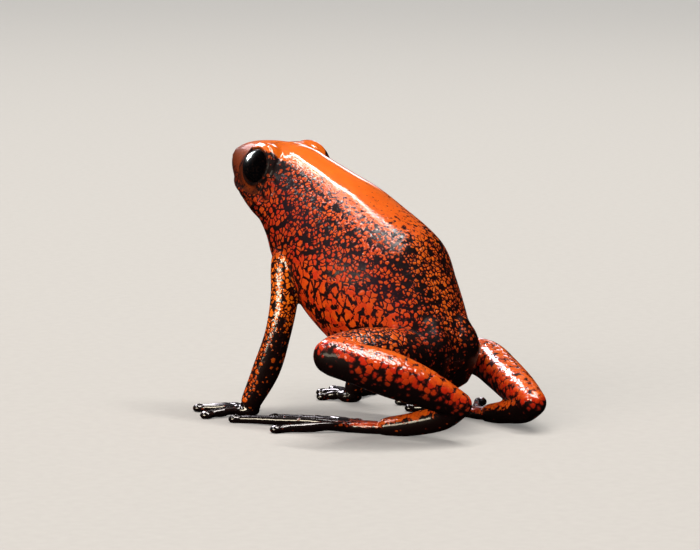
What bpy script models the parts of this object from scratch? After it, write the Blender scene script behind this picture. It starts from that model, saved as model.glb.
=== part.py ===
"""Little devil poison frog: a still, life-size figure of a small frog sitting up on straight arms.

The frog faces -Y, its left side is +X and the floor is z = 0. Lengths are millimetres until the
finished pieces are scaled to metres. Torso, head and limbs are modelled as one closed skin,
which thin cuts then part at the neck, shoulders, elbows, wrists, hips, knees and ankles.
"""

from math import atan2, copysign, cos, pi, radians, sin, sqrt, tan

import bmesh
import bpy
from mathutils import Matrix, Vector

# Driving dimensions, in millimetres
GAP = 0.3  # between neighbouring pieces
SKIN_VOXEL = 0.24
SKIN_TRIANGLES = 8000
EYE_RADIUS = 1.93
EYE_CENTRE = Vector((3.2, -24.1, 23.35))
LID_RADIUS = 2.42
LID_RIM_RADIUS = 0.22
GAZE = Vector((0.975, -0.12, 0.2)).normalized()
EYE_OPENING = radians(60)
MOUTH_FRONT = Vector((-29.65, 21.9))  # y, z of the mouth line on the midline
MOUTH_SLOPE = 0.33
MOUTH_CORNER_Y = -23.0
MOUTH_RADIUS = 0.17
LIP_RADIUS = 0.36
EAR_STATION = 5.55
EAR_ANGLE = radians(10)
EAR_RADIUS = 1.0
EAR_GROOVE = 0.17
NOSTRIL_STATION = 1.15
NOSTRIL_ANGLE = radians(38)
NOSTRIL_RADIUS = 0.24
TOE_RADIUS = 0.46
FINGER_RADIUS = 0.45
DISC_RADIUS = 0.66
DISC_THICKNESS = 0.42
SOLE_LIFT = 0.34  # height of a digit's axis above the floor
BONE_LIFT = 0.5  # height at which the digits' bones leave the palm or sole
PALM_LIFT = 0.55
PALM_RADII = (1.15, 1.3, 0.7)
SOLE_CENTRE_LIFT = 0.6
PELVIS_CENTRE = Vector((0.3, -4.2, 7.4))
PELVIS_RADII = (4.3, 2.5, 3.2)

# Where the skin is parted: stations or axis points, then the cutter's sizes
ROOT_CLEARANCE = 0.1  # between a limb's root and the cup that parts it
NECK_STATION = 6.35
NECK_CUT_RADIUS = 6.6
SHOULDER_CUP = (0.6, 2.6)
HIP_CUP = (0.7, 2.2)
ARM_CUTS = ((3, 0.1, 2.1), (4, 0.86, 1.9))  # elbow and wrist
KNEE_CUT = {"reach": 7.3, "behind": 2.8, "width": 6.4, "lean": 1.22}
HEEL_CUT = {"reach": 6.6, "behind": 2.8, "width": 6.0, "lean": 1.0}
FLOOR_CUT = Vector((80.0, 80.0, 10.0))
LID_CUT_DEPTH = 4.0
CRUMB_VERTICES = 30  # a body of fewer is a crumb between two cuts

# A section's upper half is a rounded box: 2 would be an ellipse, and more is fuller at
# the corners
BACK_FULLNESS = 2.3

# Stations from snout to vent: y and z of the back, y and z of the belly, half width, and how
# much wider the section is below its middle than above it.
STATIONS = (
    (-30.1, 24.3, -29.95, 23.2, 1.0, 0.0),
    (-29.7, 25.0, -29.55, 22.0, 1.85, 0.04),
    (-28.4, 25.5, -28.45, 20.6, 2.8, 0.1),
    (-26.7, 25.7, -27.05, 19.3, 3.75, 0.16),
    (-24.6, 25.7, -25.5, 18.1, 4.45, 0.17),
    (-22.2, 25.4, -24.05, 17.0, 4.9, 0.12),
    (-19.8, 24.5, -23.1, 15.2, 5.1, 0.1),
    (-17.0, 23.4, -22.3, 13.1, 5.6, 0.08),
    (-14.0, 22.2, -20.2, 11.3, 6.3, 0.08),
    (-11.2, 20.7, -17.6, 8.8, 6.8, 0.08),
    (-8.4, 19.2, -14.6, 6.6, 6.8, 0.06),
    (-6.4, 17.8, -11.2, 5.2, 6.3, 0.04),
    (-5.2, 15.8, -7.8, 4.6, 5.3, 0.02),
    (-4.1, 13.5, -5.0, 4.6, 4.5, 0.0),
    (-3.2, 11.4, -3.2, 5.0, 3.8, 0.0),
    (-2.4, 9.9, -2.0, 5.6, 3.0, 0.0),
    (-1.8, 8.6, -1.5, 6.6, 1.6, 0.0),
)

# The blunt rear end: a haunch on each side of the vent, down to where the thighs leave
HAUNCHES = {
    "left": ((1.8, -3.8, 8.9, 2.0), (1.95, -3.5, 7.6, 2.25), (1.9, -4.0, 5.7, 2.2)),
    "right": ((-1.8, -3.8, 8.9, 2.0), (-1.95, -3.5, 7.6, 2.25), (-1.9, -4.0, 5.7, 2.2)),
}
# The flat crown between the two eyes
CROWN = ((-2.6, -24.2, 23.45, 2.2), (0.0, -24.2, 23.5, 2.2), (2.6, -24.2, 23.45, 2.2))

# Limb axes: points with their radius, from the root to the end
ARMS = {
    "left": ((3.2, -19.0, 17.0, 1.7), (5.05, -19.05, 14.9, 1.4), (5.9, -18.4, 11.4, 1.33),
             (6.8, -18.35, 8.0, 1.24), (7.4, -19.2, 4.6, 1.32), (8.15, -20.4, 1.5, 1.0)),
    "right": ((-3.2, -19.0, 17.0, 1.7), (-4.9, -18.9, 14.9, 1.4), (-6.1, -18.4, 11.4, 1.2),
              (-6.4, -17.6, 8.0, 1.32), (-6.2, -18.6, 4.6, 1.25), (-5.8, -19.9, 1.5, 0.95)),
}
THIGHS = {
    "left": ((3.0, -4.2, 6.7, 2.5), (5.4, -4.4, 7.2, 2.6), (8.6, -4.9, 7.7, 2.45),
             (11.5, -5.4, 7.9, 2.05), (13.3, -5.2, 7.9, 1.75)),
    "right": ((-2.3, -4.2, 6.6, 2.2), (-4.7, -6.3, 6.7, 2.35), (-7.0, -8.0, 6.5, 2.25),
              (-9.4, -9.4, 6.0, 1.95), (-10.9, -10.0, 5.6, 1.7)),
}
SHANKS = {
    "left": ((13.3, -5.0, 7.8, 1.75), (12.2, -3.1, 7.3, 1.9), (10.0, -1.0, 6.35, 2.1),
             (7.4, 1.1, 5.0, 1.8), (5.0, 3.0, 3.5, 1.25)),
    "right": ((-10.9, -9.8, 5.5, 1.7), (-10.9, -7.2, 5.1, 1.9), (-9.3, -3.9, 4.35, 1.85),
              (-7.2, 0.0, 3.4, 1.7), (-5.2, 3.4, 2.7, 1.3)),
}
FEET = {
    "left": ((5.0, 3.0, 3.5, 1.25), (5.0, 1.0, 2.1, 1.2), (5.7, -1.7, 1.25, 1.1),
             (6.5, -4.4, 0.7, 0.92)),
    "right": ((-5.2, 3.4, 2.7, 1.3), (-5.6, 1.9, 1.8, 1.25), (-6.2, -0.6, 1.25, 1.1),
              (-6.9, -3.2, 0.7, 0.95)),
}
# Tips of the digits on the floor, from the innermost to the outermost
FINGER_TIPS = {
    "left": ((5.4, -22.8), (7.4, -24.6), (9.8, -25.6), (12.2, -22.2)),
    "right": ((-4.6, -22.8), (-6.4, -24.6), (-8.7, -25.2), (-10.6, -22.0)),
}
TOE_TIPS = {
    "left": ((5.4, -9.8), (6.4, -13.2), (8.7, -16.6), (12.0, -18.6), (13.4, -11.8)),
    "right": ((-4.6, -8.6), (-5.6, -12.0), (-7.9, -15.4), (-11.4, -17.2), (-13.6, -10.2)),
}

COLOURS = {
    "head": (0.62, 0.09, 0.01),
    "torso": (0.5, 0.05, 0.01),
    "eye": (0.01, 0.01, 0.012),
    "limb": (0.25, 0.03, 0.01),
    "foot": (0.03, 0.02, 0.02),
}


def collection(name):
    made = bpy.data.collections.new(name)
    bpy.context.scene.collection.children.link(made)
    return made


def clear_scene():
    for item in list(bpy.data.objects):
        bpy.data.objects.remove(item, do_unlink=True)


def material(name, colour, roughness):
    made = bpy.data.materials.new(name)
    made.use_nodes = True
    shader = made.node_tree.nodes["Principled BSDF"]
    shader.inputs["Base Color"].default_value = (*colour, 1.0)
    shader.inputs["Roughness"].default_value = roughness
    shader.inputs["Metallic"].default_value = 0.0
    return made


def smooth_row(rows, t):
    """The Catmull-Rom value of rows of numbers at t, where each row is one unit apart."""
    i = min(int(t), len(rows) - 2)
    f = t - i
    a, b, c, d = (rows[max(0, min(len(rows) - 1, k))] for k in (i - 1, i, i + 1, i + 2))
    return [
        0.5 * (2 * q + (r - p) * f + (2 * p - 5 * q + 4 * r - s) * f * f
               + (3 * q - p - 3 * r + s) * f ** 3)
        for p, q, r, s in zip(a, b, c, d)
    ]


def skin_point(t, angle):
    """A point of the torso and head: t counts stations from the snout, angle 0 is the left side."""
    top_y, top_z, low_y, low_z, width, low_full = smooth_row(STATIONS, t)
    up = sin(angle)
    side = cos(angle)
    if up > 0:
        up = up ** (2 / BACK_FULLNESS)
        side = copysign(abs(side) ** (2 / BACK_FULLNESS), side)
    return Vector((
        width * side * (1 - low_full * up),
        (top_y + low_y) / 2 + (top_y - low_y) / 2 * up,
        (top_z + low_z) / 2 + (top_z - low_z) / 2 * up,
    ))


def skin_normal(t, angle):
    step = 0.02
    along = skin_point(t + step, angle) - skin_point(t - step, angle)
    around = skin_point(t, angle + step) - skin_point(t, angle - step)
    return around.cross(along).normalized()


def mesh_object(name, bm, home):
    bmesh.ops.recalc_face_normals(bm, faces=bm.faces)
    mesh = bpy.data.meshes.new(name)
    bm.to_mesh(mesh)
    bm.free()
    made = bpy.data.objects.new(name, mesh)
    home.objects.link(made)
    return made


def loft(bm, rings):
    """Joins rings of points into one closed skin with a capped start and end."""
    rows = [[bm.verts.new(point) for point in ring] for ring in rings]
    for low, high in zip(rows, rows[1:]):
        for k in range(len(low)):
            n = (k + 1) % len(low)
            bm.faces.new((low[k], low[n], high[n], high[k]))
    for row in (rows[0], rows[-1]):
        centre = bm.verts.new(sum((v.co for v in row), Vector()) / len(row))
        for k in range(len(row)):
            bm.faces.new((row[k], row[(k + 1) % len(row)], centre))


def trunk(bm, steps, sides):
    last = len(STATIONS) - 1
    rings = []
    for i in range(steps + 1):
        t = last * i / steps
        rings.append([skin_point(t, 2 * pi * k / sides) for k in range(sides)])
    loft(bm, rings)


def sweep(nodes, times):
    """Frames along a limb's axis: point, tangent, two directions across it and the radius."""
    rows = [smooth_row(nodes, t) for t in times]
    points = [Vector(row[:3]) for row in rows]
    last = len(points) - 1
    frames = []
    side = None
    for i, row in enumerate(rows):
        tangent = (points[min(i + 1, last)] - points[max(i - 1, 0)]).normalized()
        if side is None:
            side = tangent.orthogonal()
        side = (side - tangent * side.dot(tangent)).normalized()
        frames.append((points[i], tangent, side, tangent.cross(side), row[3]))
    return frames


def ring_round(frame, radius, shift, shrink, sides):
    point, tangent, side, across, _ = frame
    ring = []
    for k in range(sides):
        a = 2 * pi * k / sides
        out = (side * cos(a) + across * sin(a)) * radius * shrink
        ring.append(point + tangent * radius * shift + out)
    return ring


def tube(bm, nodes, sides=20, per_span=5):
    """A round limb along nodes of x, y, z and radius, with a dome at each end."""
    count = (len(nodes) - 1) * per_span
    frames = sweep(nodes, [i / per_span for i in range(count + 1)])
    rings = []
    for i, frame in enumerate(frames):
        domes = [(0.0, 1.0)]
        if i == 0:
            domes = [(-sin(a), cos(a)) for a in (1.3, 0.9, 0.5)] + domes
        if i == count:
            domes = domes + [(sin(a), cos(a)) for a in (0.5, 0.9, 1.3)]
        for shift, shrink in domes:
            rings.append(ring_round(frame, frame[4], shift, shrink, sides))
    loft(bm, rings)


def cup(bm, nodes, start, stop, steps=5, sides=20):
    """A parting cutter round a limb's root: a thin cup, domed inside the trunk, open outwards."""
    frames = sweep(nodes, [start + (stop - start) * i / steps for i in range(steps + 1)])
    walls = []
    for extra in (ROOT_CLEARANCE + GAP, ROOT_CLEARANCE):
        rings = []
        for frame in reversed(frames):
            rings.append(ring_round(frame, frame[4] + extra, 0.0, 1.0, sides))
        for a in (0.45, 0.9, 1.3):
            rings.append(ring_round(frames[0], frames[0][4] + extra, -sin(a), cos(a), sides))
        walls.append([[bm.verts.new(point) for point in ring] for ring in rings])
        root, tangent, _, _, radius = frames[0]
        pole = bm.verts.new(root - tangent * (radius + extra))
        inmost = walls[-1][-1]
        for k in range(sides):
            bm.faces.new((inmost[k], inmost[(k + 1) % sides], pole))
    rows = list(reversed(walls[0])) + walls[1]
    for low, high in zip(rows, rows[1:]):
        for k in range(sides):
            n = (k + 1) % sides
            bm.faces.new((low[k], low[n], high[n], high[k]))


def ball(bm, centre, radii, segments=24):
    matrix = Matrix.Translation(centre) @ Matrix.Diagonal((*radii, 1.0))
    bmesh.ops.create_uvsphere(bm, u_segments=segments, v_segments=segments // 2,
                              radius=1.0, matrix=matrix)


def mirrored(point, side):
    sign = 1 if side == "left" else -1
    return Vector((point[0] * sign, point[1], point[2]))


def frame_along(direction, centre):
    """A matrix whose Z axis lies along the direction."""
    turn = Vector(direction).to_track_quat("Z", "Y").to_matrix().to_4x4()
    return Matrix.Translation(centre) @ turn


def mouth_path():
    """Points of the mouth line, left corner to right, where its sloping plane meets the head."""
    half = []
    steps = 160
    for i in range(steps):
        t = 6.0 * i / steps
        top_y, top_z, low_y, low_z, _, _ = smooth_row(STATIONS, t)
        mid_y = (top_y + low_y) / 2
        mid_z = (top_z + low_z) / 2
        dy = (top_y - low_y) / 2
        dz = (top_z - low_z) / 2
        rise = dz + MOUTH_SLOPE * dy
        level = MOUTH_FRONT.y - MOUTH_SLOPE * (mid_y - MOUTH_FRONT.x) - mid_z
        up = level / rise
        if abs(up) < 1:
            point = skin_point(t, atan2(up, sqrt(1 - up * up)))
            if point.y < MOUTH_CORNER_Y:
                half.append(point)
    half = half[:-4:8] + [half[-1]]
    front = Vector((0.0, MOUTH_FRONT.x - 0.15, MOUTH_FRONT.y))
    half = [p for p in half if (p - front).length > 0.9]
    right = [Vector((-p.x, p.y, p.z)) for p in half]
    return half[::-1] + [front] + right


def ring(bm, matrix, height, major, minor, around, sides):
    """A torus on its matrix's Z axis, at a height along it."""
    rows = []
    for i in range(around):
        a = 2 * pi * i / around
        row = []
        for k in range(sides):
            b = 2 * pi * k / sides
            r = major + minor * cos(b)
            point = Vector((r * cos(a), r * sin(a), height + minor * sin(b)))
            row.append(bm.verts.new(matrix @ point))
        rows.append(row)
    for i in range(around):
        low = rows[i]
        high = rows[(i + 1) % around]
        for k in range(sides):
            n = (k + 1) % sides
            bm.faces.new((low[k], low[n], high[n], high[k]))


def lid_rim(bm, centre, gaze):
    """A ring of soft ridge round the eye's opening, which is the edge of the lids."""
    reach = LID_RADIUS * cos(EYE_OPENING) - 0.1
    wide = LID_RADIUS * sin(EYE_OPENING)
    ring(bm, frame_along(gaze, centre), reach, wide, LID_RIM_RADIUS, 28, 10)


def digit(bm, root, base, tip, radius, knuckle):
    """One finger or toe: its bone in the palm or sole, then the free part, arched, and its disc."""
    tip = Vector((tip[0], tip[1], SOLE_LIFT))
    path = [(*root, radius * 1.25), (*root.lerp(base, 0.5), radius * 1.3)]
    for f, lift, thick in ((0.0, 0.0, 1.15), (0.3, knuckle, 1.0), (0.55, knuckle * 0.6, 1.05),
                           (0.8, 0.08, 0.88), (1.0, 0.0, 0.85)):
        point = base.lerp(tip, f)
        path.append((point.x, point.y, point.z + lift, radius * thick))
    tube(bm, path, sides=12, per_span=3)
    reach = (tip - base).normalized()
    ball(bm, tip + reach * 0.15, (DISC_RADIUS, DISC_RADIUS, DISC_THICKNESS), 16)


def fan(bm, root, tips, palm, spread, radius, knuckle):
    """All the digits of one hand or foot, which lie together for the share palm, then part."""
    middle = sum((Vector((x, y, 0.0)) for x, y in tips), Vector()) / len(tips)
    for x, y in tips:
        tip = Vector((x, y, 0.0))
        base = root.lerp(middle, palm) + (tip - middle) * spread
        base.z = BONE_LIFT
        digit(bm, root, base, tip, radius, knuckle)


def build_skin(home):
    """Every fleshy shape overlapped in one mesh, then turned into one closed skin."""
    bm = bmesh.new()
    trunk(bm, steps=64, sides=40)
    path = mouth_path()
    lips = [(p.x * 0.985, p.y + 0.1, p.z + 0.3, LIP_RADIUS) for p in path]
    tube(bm, lips, sides=10, per_span=1)
    ball(bm, PELVIS_CENTRE, PELVIS_RADII, 32)
    tube(bm, CROWN)
    for side in ("left", "right"):
        ball(bm, mirrored(EYE_CENTRE, side), (LID_RADIUS,) * 3, 32)
        lid_rim(bm, mirrored(EYE_CENTRE, side), mirrored(GAZE, side))
        tube(bm, ARMS[side])
        tube(bm, HAUNCHES[side])
        tube(bm, THIGHS[side])
        tube(bm, SHANKS[side])
        tube(bm, FEET[side])
        wrist = Vector(ARMS[side][-1][:3])
        ball(bm, Vector((wrist.x, wrist.y - 0.6, PALM_LIFT)), PALM_RADII, 16)
        palm = Vector((wrist.x, wrist.y - 0.4, PALM_LIFT))
        fan(bm, palm, FINGER_TIPS[side], 0.28, 0.2, FINGER_RADIUS, 0.16)
        sole = Vector(FEET[side][-1][:3])
        sole.z = SOLE_CENTRE_LIFT
        fan(bm, sole, TOE_TIPS[side], 0.36, 0.16, TOE_RADIUS, 0.18)
    skin = mesh_object("skin", bm, home)
    remesh = skin.modifiers.new("one_skin", "REMESH")
    remesh.mode = "VOXEL"
    remesh.voxel_size = SKIN_VOXEL
    relax = skin.modifiers.new("relax", "SMOOTH")
    relax.factor = 0.5
    relax.iterations = 4
    return skin


def apply_modifiers(item):
    graph = bpy.context.evaluated_depsgraph_get()
    mesh = bpy.data.meshes.new_from_object(item.evaluated_get(graph))
    item.modifiers.clear()
    old = item.data
    item.data = mesh
    bpy.data.meshes.remove(old)


def thin_out(skin):
    """Fewer triangles, kept where the surface bends most."""
    faces = sum(len(p.vertices) - 2 for p in skin.data.polygons)
    decimate = skin.modifiers.new("fewer", "DECIMATE")
    decimate.ratio = SKIN_TRIANGLES / faces
    decimate.use_collapse_triangulate = True
    apply_modifiers(skin)


def disc(bm, centre, direction, radius):
    """A parting cutter: a thin round plate square to the direction."""
    bmesh.ops.create_cone(bm, cap_ends=True, segments=24, radius1=radius, radius2=radius,
                          depth=GAP, matrix=frame_along(direction, centre))


def opening(bm, eye, gaze):
    """The cone that opens the lids over the eye."""
    wide = LID_CUT_DEPTH * tan(EYE_OPENING)
    matrix = frame_along(gaze, eye + gaze * LID_CUT_DEPTH / 2)
    bmesh.ops.create_cone(bm, cap_ends=True, segments=28, radius1=0.0, radius2=wide,
                          depth=LID_CUT_DEPTH, matrix=matrix)


def slab(bm, centre, normal, along, length, width):
    """A parting cutter: a thin rectangular plate, with its length along one direction."""
    z = Vector(normal).normalized()
    x = Vector(along)
    x = (x - z * x.dot(z)).normalized()
    y = z.cross(x)
    turn = Matrix((x, y, z)).transposed().to_4x4()
    matrix = Matrix.Translation(centre) @ turn @ Matrix.Diagonal((length, width, GAP, 1.0))
    bmesh.ops.create_cube(bm, size=1.0, matrix=matrix)


def between(nodes, i, f):
    a = Vector(nodes[i][:3])
    b = Vector(nodes[i + 1][:3])
    return a.lerp(b, f), b - a


def fold_slab(bm, joint, end_a, end_b, reach, behind, width, lean):
    """A plate through a folded joint, between the two limbs that leave it, leaning to the second."""
    a = (Vector(end_a[:3]) - joint).normalized()
    b = (Vector(end_b[:3]) - joint).normalized()
    middle = (a + b * lean).normalized()
    across = a - middle * a.dot(middle)
    centre = joint + middle * (reach - behind) / 2
    slab(bm, centre, across, middle, reach + behind, width)


def parting_cutters(home):
    """Thin plates and cups through each joint, in groups whose plates don't cross."""
    names = ("neck", "shoulders", "arm_joints", "hips", "knees", "ankles")
    groups = {name: bmesh.new() for name in names}
    top_y, top_z, low_y, low_z, _, _ = smooth_row(STATIONS, NECK_STATION)
    neck = Vector((0.0, (top_y + low_y) / 2, (top_z + low_z) / 2))
    neck_axis = Vector((0.0, low_z - top_z, top_y - low_y))
    disc(groups["neck"], neck, neck_axis, NECK_CUT_RADIUS)
    for side in ("left", "right"):
        cup(groups["shoulders"], ARMS[side], *SHOULDER_CUP)
        for i, f, radius in ARM_CUTS:
            at, axis = between(ARMS[side], i, f)
            disc(groups["arm_joints"], at, axis, radius)
        cup(groups["hips"], THIGHS[side], *HIP_CUP)
        knee = Vector(SHANKS[side][0][:3])
        fold_slab(groups["knees"], knee, THIGHS[side][1], SHANKS[side][3], **KNEE_CUT)
        heel = Vector(FEET[side][0][:3])
        fold_slab(groups["ankles"], heel, SHANKS[side][2], FEET[side][2], **HEEL_CUT)
    return [mesh_object(name, bm, home) for name, bm in groups.items()]


def detail_cutters(home):
    """The eye sockets, mouth line, ear rings and nostrils."""
    names = ("eye_sockets", "lid_openings", "mouth_line", "ear_rings", "nostrils")
    groups = {name: bmesh.new() for name in names}
    path = [(p.x, p.y, p.z, MOUTH_RADIUS) for p in mouth_path()]
    tube(groups["mouth_line"], path, sides=6, per_span=1)
    for side in ("left", "right"):
        eye = mirrored(EYE_CENTRE, side)
        gaze = mirrored(GAZE, side)
        ball(groups["eye_sockets"], eye, (EYE_RADIUS + GAP,) * 3, 20)
        opening(groups["lid_openings"], eye, gaze)
        angle = EAR_ANGLE if side == "left" else pi - EAR_ANGLE
        ear = skin_point(EAR_STATION, angle)
        normal = skin_normal(EAR_STATION, angle)
        ring(groups["ear_rings"], frame_along(normal, ear), 0.02, EAR_RADIUS, EAR_GROOVE, 20, 6)
        angle = NOSTRIL_ANGLE if side == "left" else pi - NOSTRIL_ANGLE
        ball(groups["nostrils"], skin_point(NOSTRIL_STATION, angle), (NOSTRIL_RADIUS,) * 3, 10)
    return [mesh_object(name, bm, home) for name, bm in groups.items()]


def floor_cutter(home):
    bm = bmesh.new()
    below = Matrix.Translation((0.0, 0.0, -FLOOR_CUT.z / 2))
    bmesh.ops.create_cube(bm, size=1.0, matrix=below @ Matrix.Diagonal((*FLOOR_CUT, 1.0)))
    return mesh_object("floor_cut", bm, home)


def cut(item, cutter):
    boolean = item.modifiers.new(cutter.name, "BOOLEAN")
    boolean.operation = "DIFFERENCE"
    boolean.solver = "EXACT"
    boolean.object = cutter
    apply_modifiers(item)


def label_points():
    """A point inside each fleshy piece, by its name."""
    points = {
        "head": Vector((0.0, -25.5, 22.0)),
        "torso": Vector((0.0, -11.0, 13.5)),
    }
    for side in ("left", "right"):
        points["upper_arm_" + side] = between(ARMS[side], 1, 0.9)[0]
        points["forearm_" + side] = between(ARMS[side], 3, 0.9)[0]
        points["hand_" + side] = Vector(ARMS[side][-1][:3]) - Vector((0, 0.8, 0.8))
        points["thigh_" + side] = between(THIGHS[side], 2, 0.3)[0]
        points["shank_" + side] = between(SHANKS[side], 2, 0.3)[0]
        points["foot_" + side] = between(FEET[side], 1, 0.8)[0]
    return points


def loose_pieces(item):
    """The item's separate bodies, each as a set of vertex indices."""
    bm = bmesh.new()
    bm.from_mesh(item.data)
    seen = set()
    pieces = []
    for start in bm.verts:
        if start in seen:
            continue
        stack = [start]
        seen.add(start)
        piece = []
        while stack:
            vertex = stack.pop()
            piece.append(vertex.index)
            for edge in vertex.link_edges:
                other = edge.other_vert(vertex)
                if other not in seen:
                    seen.add(other)
                    stack.append(other)
        pieces.append(piece)
    bm.free()
    return pieces


def nearest_piece(skin, point):
    """The vertex indices of the body that comes nearest to the point, crumbs left out."""
    best = None
    for piece in loose_pieces(skin):
        if len(piece) < CRUMB_VERTICES:
            continue
        near = min((skin.data.vertices[i].co - point).length for i in piece)
        if best is None or near < best[0]:
            best = (near, piece)
    return set(best[1])


def part_skin(skin, home, looks):
    """Each body that the cuts leave becomes a piece of its own, named by the point it holds."""
    points = label_points()
    for name, point in points.items():
        bm = bmesh.new()
        bm.from_mesh(skin.data)
        bm.verts.ensure_lookup_table()
        keep = nearest_piece(skin, point)
        doomed = [v for v in bm.verts if v.index not in keep]
        bmesh.ops.delete(bm, geom=doomed, context="VERTS")
        piece = mesh_object(name, bm, home)
        kind = "foot" if name.startswith(("hand", "foot")) else name
        piece.data.materials.append(looks.get(kind, looks["limb"]))


def build_eyes(home, look):
    for side in ("left", "right"):
        bm = bmesh.new()
        ball(bm, mirrored(EYE_CENTRE, side), (EYE_RADIUS,) * 3, 20)
        eye = mesh_object("eye_" + side, bm, home)
        eye.data.materials.append(look)


def stand_on_base(pieces):
    """Centres the whole on its base and turns millimetres into metres."""
    corners = [v.co for piece in pieces for v in piece.data.vertices]
    low = [min(c[k] for c in corners) for k in range(3)]
    high = [max(c[k] for c in corners) for k in range(3)]
    base = Vector(((low[0] + high[0]) / 2, (low[1] + high[1]) / 2, low[2]))
    for piece in pieces:
        piece.data.transform(Matrix.Scale(0.001, 4) @ Matrix.Translation(-base))
        piece.data.shade_smooth()


def main():
    clear_scene()
    frog = collection("poison_frog")
    cutters = collection("cutters")
    looks = {name: material(name + "_look", colour, 0.25) for name, colour in COLOURS.items()}
    skin = build_skin(cutters)
    apply_modifiers(skin)
    thin_out(skin)
    cut(skin, floor_cutter(cutters))
    for cutter in detail_cutters(cutters) + parting_cutters(cutters):
        cut(skin, cutter)
    part_skin(skin, frog, looks)
    build_eyes(frog, looks["eye"])
    stand_on_base(list(frog.objects))
    for item in cutters.objects:
        item.hide_render = True
        item.display_type = "WIRE"


main()
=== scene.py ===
"""Little devil poison frog, dressed: one wet skin over all the flesh, and two dark eyes.

The modelling functions work in millimetres in the frog's own measure: it faces -Y, its left side
is +X and the floor is z = 0. Each finished piece is moved onto the frame and turned into metres.
"""

from math import atan2, copysign, cos, pi, radians, sin, sqrt

import bmesh
import bpy
import numpy as np
from mathutils import Matrix, Vector


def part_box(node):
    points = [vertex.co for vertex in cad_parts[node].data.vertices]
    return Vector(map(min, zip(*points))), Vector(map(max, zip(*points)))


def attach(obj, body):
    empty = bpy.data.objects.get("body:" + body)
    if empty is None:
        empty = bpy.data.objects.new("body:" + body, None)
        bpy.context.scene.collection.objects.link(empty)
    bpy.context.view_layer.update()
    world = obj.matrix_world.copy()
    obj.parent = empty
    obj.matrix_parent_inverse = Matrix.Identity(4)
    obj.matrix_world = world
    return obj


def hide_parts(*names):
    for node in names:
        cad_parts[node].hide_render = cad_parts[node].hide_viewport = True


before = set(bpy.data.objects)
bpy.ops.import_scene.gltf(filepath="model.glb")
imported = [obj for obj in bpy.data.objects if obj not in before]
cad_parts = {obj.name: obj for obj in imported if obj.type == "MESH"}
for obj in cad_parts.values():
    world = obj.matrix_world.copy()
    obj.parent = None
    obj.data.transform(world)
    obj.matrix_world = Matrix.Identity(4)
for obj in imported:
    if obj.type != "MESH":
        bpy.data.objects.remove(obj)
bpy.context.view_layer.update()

# The frog's named sizes, in millimetres, as its solids have them
EYE_RADIUS = 1.93
EYE_CENTRE = Vector((3.2, -24.1, 23.35))
CORNEA_BULGE = 0.035  # as a share of the eye's radius
LID_RADIUS = 2.42
LID_EDGE = 2.1  # how far from the eye's centre the rim of the opening lies
LID_INSIDE = 1.62  # how far its hidden edge, under the eyeball's surface, lies
GAZE = Vector((0.975, -0.12, 0.2)).normalized()
EYE_OPENING = radians(60)
MOUTH_FRONT = Vector((-29.65, 21.9))
MOUTH_SLOPE = 0.33
MOUTH_CORNER_Y = -23.0
MOUTH_LINE_DEPTH = 0.16
LIP_RADIUS = 0.36
EAR_STATION = 5.55
EAR_ANGLE = radians(10)
EAR_RADIUS = 1.0
EAR_GROOVE_DEPTH = 0.1
NOSTRIL_STATION = 1.15
NOSTRIL_ANGLE = radians(38)
NOSTRIL_RADIUS = 0.17
NOSTRIL_DEPTH = 0.26
TOE_RADIUS = 0.46
FINGER_RADIUS = 0.45
DISC_RADIUS = 0.66
DISC_THICKNESS = 0.42
SOLE_LIFT = 0.34
BONE_LIFT = 0.5
PALM_LIFT = 0.55
PALM_RADII = (1.15, 1.3, 0.7)
# How much of a digit lies in the palm or sole, how far its tip sets it apart there, and the
# height of its knuckle
FINGER_SET = (0.28, 0.2, 0.16)
TOE_SET = (0.36, 0.16, 0.18)
SOLE_CENTRE_LIFT = 0.6
PELVIS_CENTRE = Vector((0.3, -4.2, 7.4))
PELVIS_RADII = (4.3, 2.5, 3.2)
SKIN_VOXEL = 0.155
SKIN_FACES = 185000  # triangles

# A section's upper half is a rounded box: 2 would be an ellipse, and more is fuller at the corners
BACK_FULLNESS = 2.3

# Stations from snout to vent: y and z of the back, y and z of the belly, half width, and how
# much wider the section is below its middle than above it
STATIONS = (
    (-30.1, 24.3, -29.95, 23.2, 1.0, 0.0),
    (-29.7, 25.0, -29.55, 22.0, 1.85, 0.04),
    (-28.4, 25.5, -28.45, 20.6, 2.8, 0.1),
    (-26.7, 25.7, -27.05, 19.3, 3.75, 0.16),
    (-24.6, 25.7, -25.5, 18.1, 4.45, 0.17),
    (-22.2, 25.4, -24.05, 17.0, 4.9, 0.12),
    (-19.8, 24.5, -23.1, 15.2, 5.1, 0.1),
    (-17.0, 23.4, -22.3, 13.1, 5.6, 0.08),
    (-14.0, 22.2, -20.2, 11.3, 6.3, 0.08),
    (-11.2, 20.7, -17.6, 8.8, 6.8, 0.08),
    (-8.4, 19.2, -14.6, 6.6, 6.8, 0.06),
    (-6.4, 17.8, -11.2, 5.2, 6.3, 0.04),
    (-5.2, 15.8, -7.8, 4.6, 5.3, 0.02),
    (-4.1, 13.5, -5.0, 4.6, 4.5, 0.0),
    (-3.2, 11.4, -3.2, 5.0, 3.8, 0.0),
    (-2.4, 9.9, -2.0, 5.6, 3.0, 0.0),
    (-1.8, 8.6, -1.5, 6.6, 1.6, 0.0),
)

# The blunt rear end: a haunch on each side of the vent, down to where the thighs leave
HAUNCH = ((1.8, -3.8, 8.9, 2.0), (1.95, -3.5, 7.6, 2.25), (1.9, -4.0, 5.7, 2.2))
HAUNCHES = {"left": HAUNCH, "right": tuple((-x, y, z, radius) for x, y, z, radius in HAUNCH)}
# The flat crown between the two eyes
CROWN = ((-2.6, -24.2, 23.45, 2.2), (0.0, -24.2, 23.5, 2.2), (2.6, -24.2, 23.45, 2.2))

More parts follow.
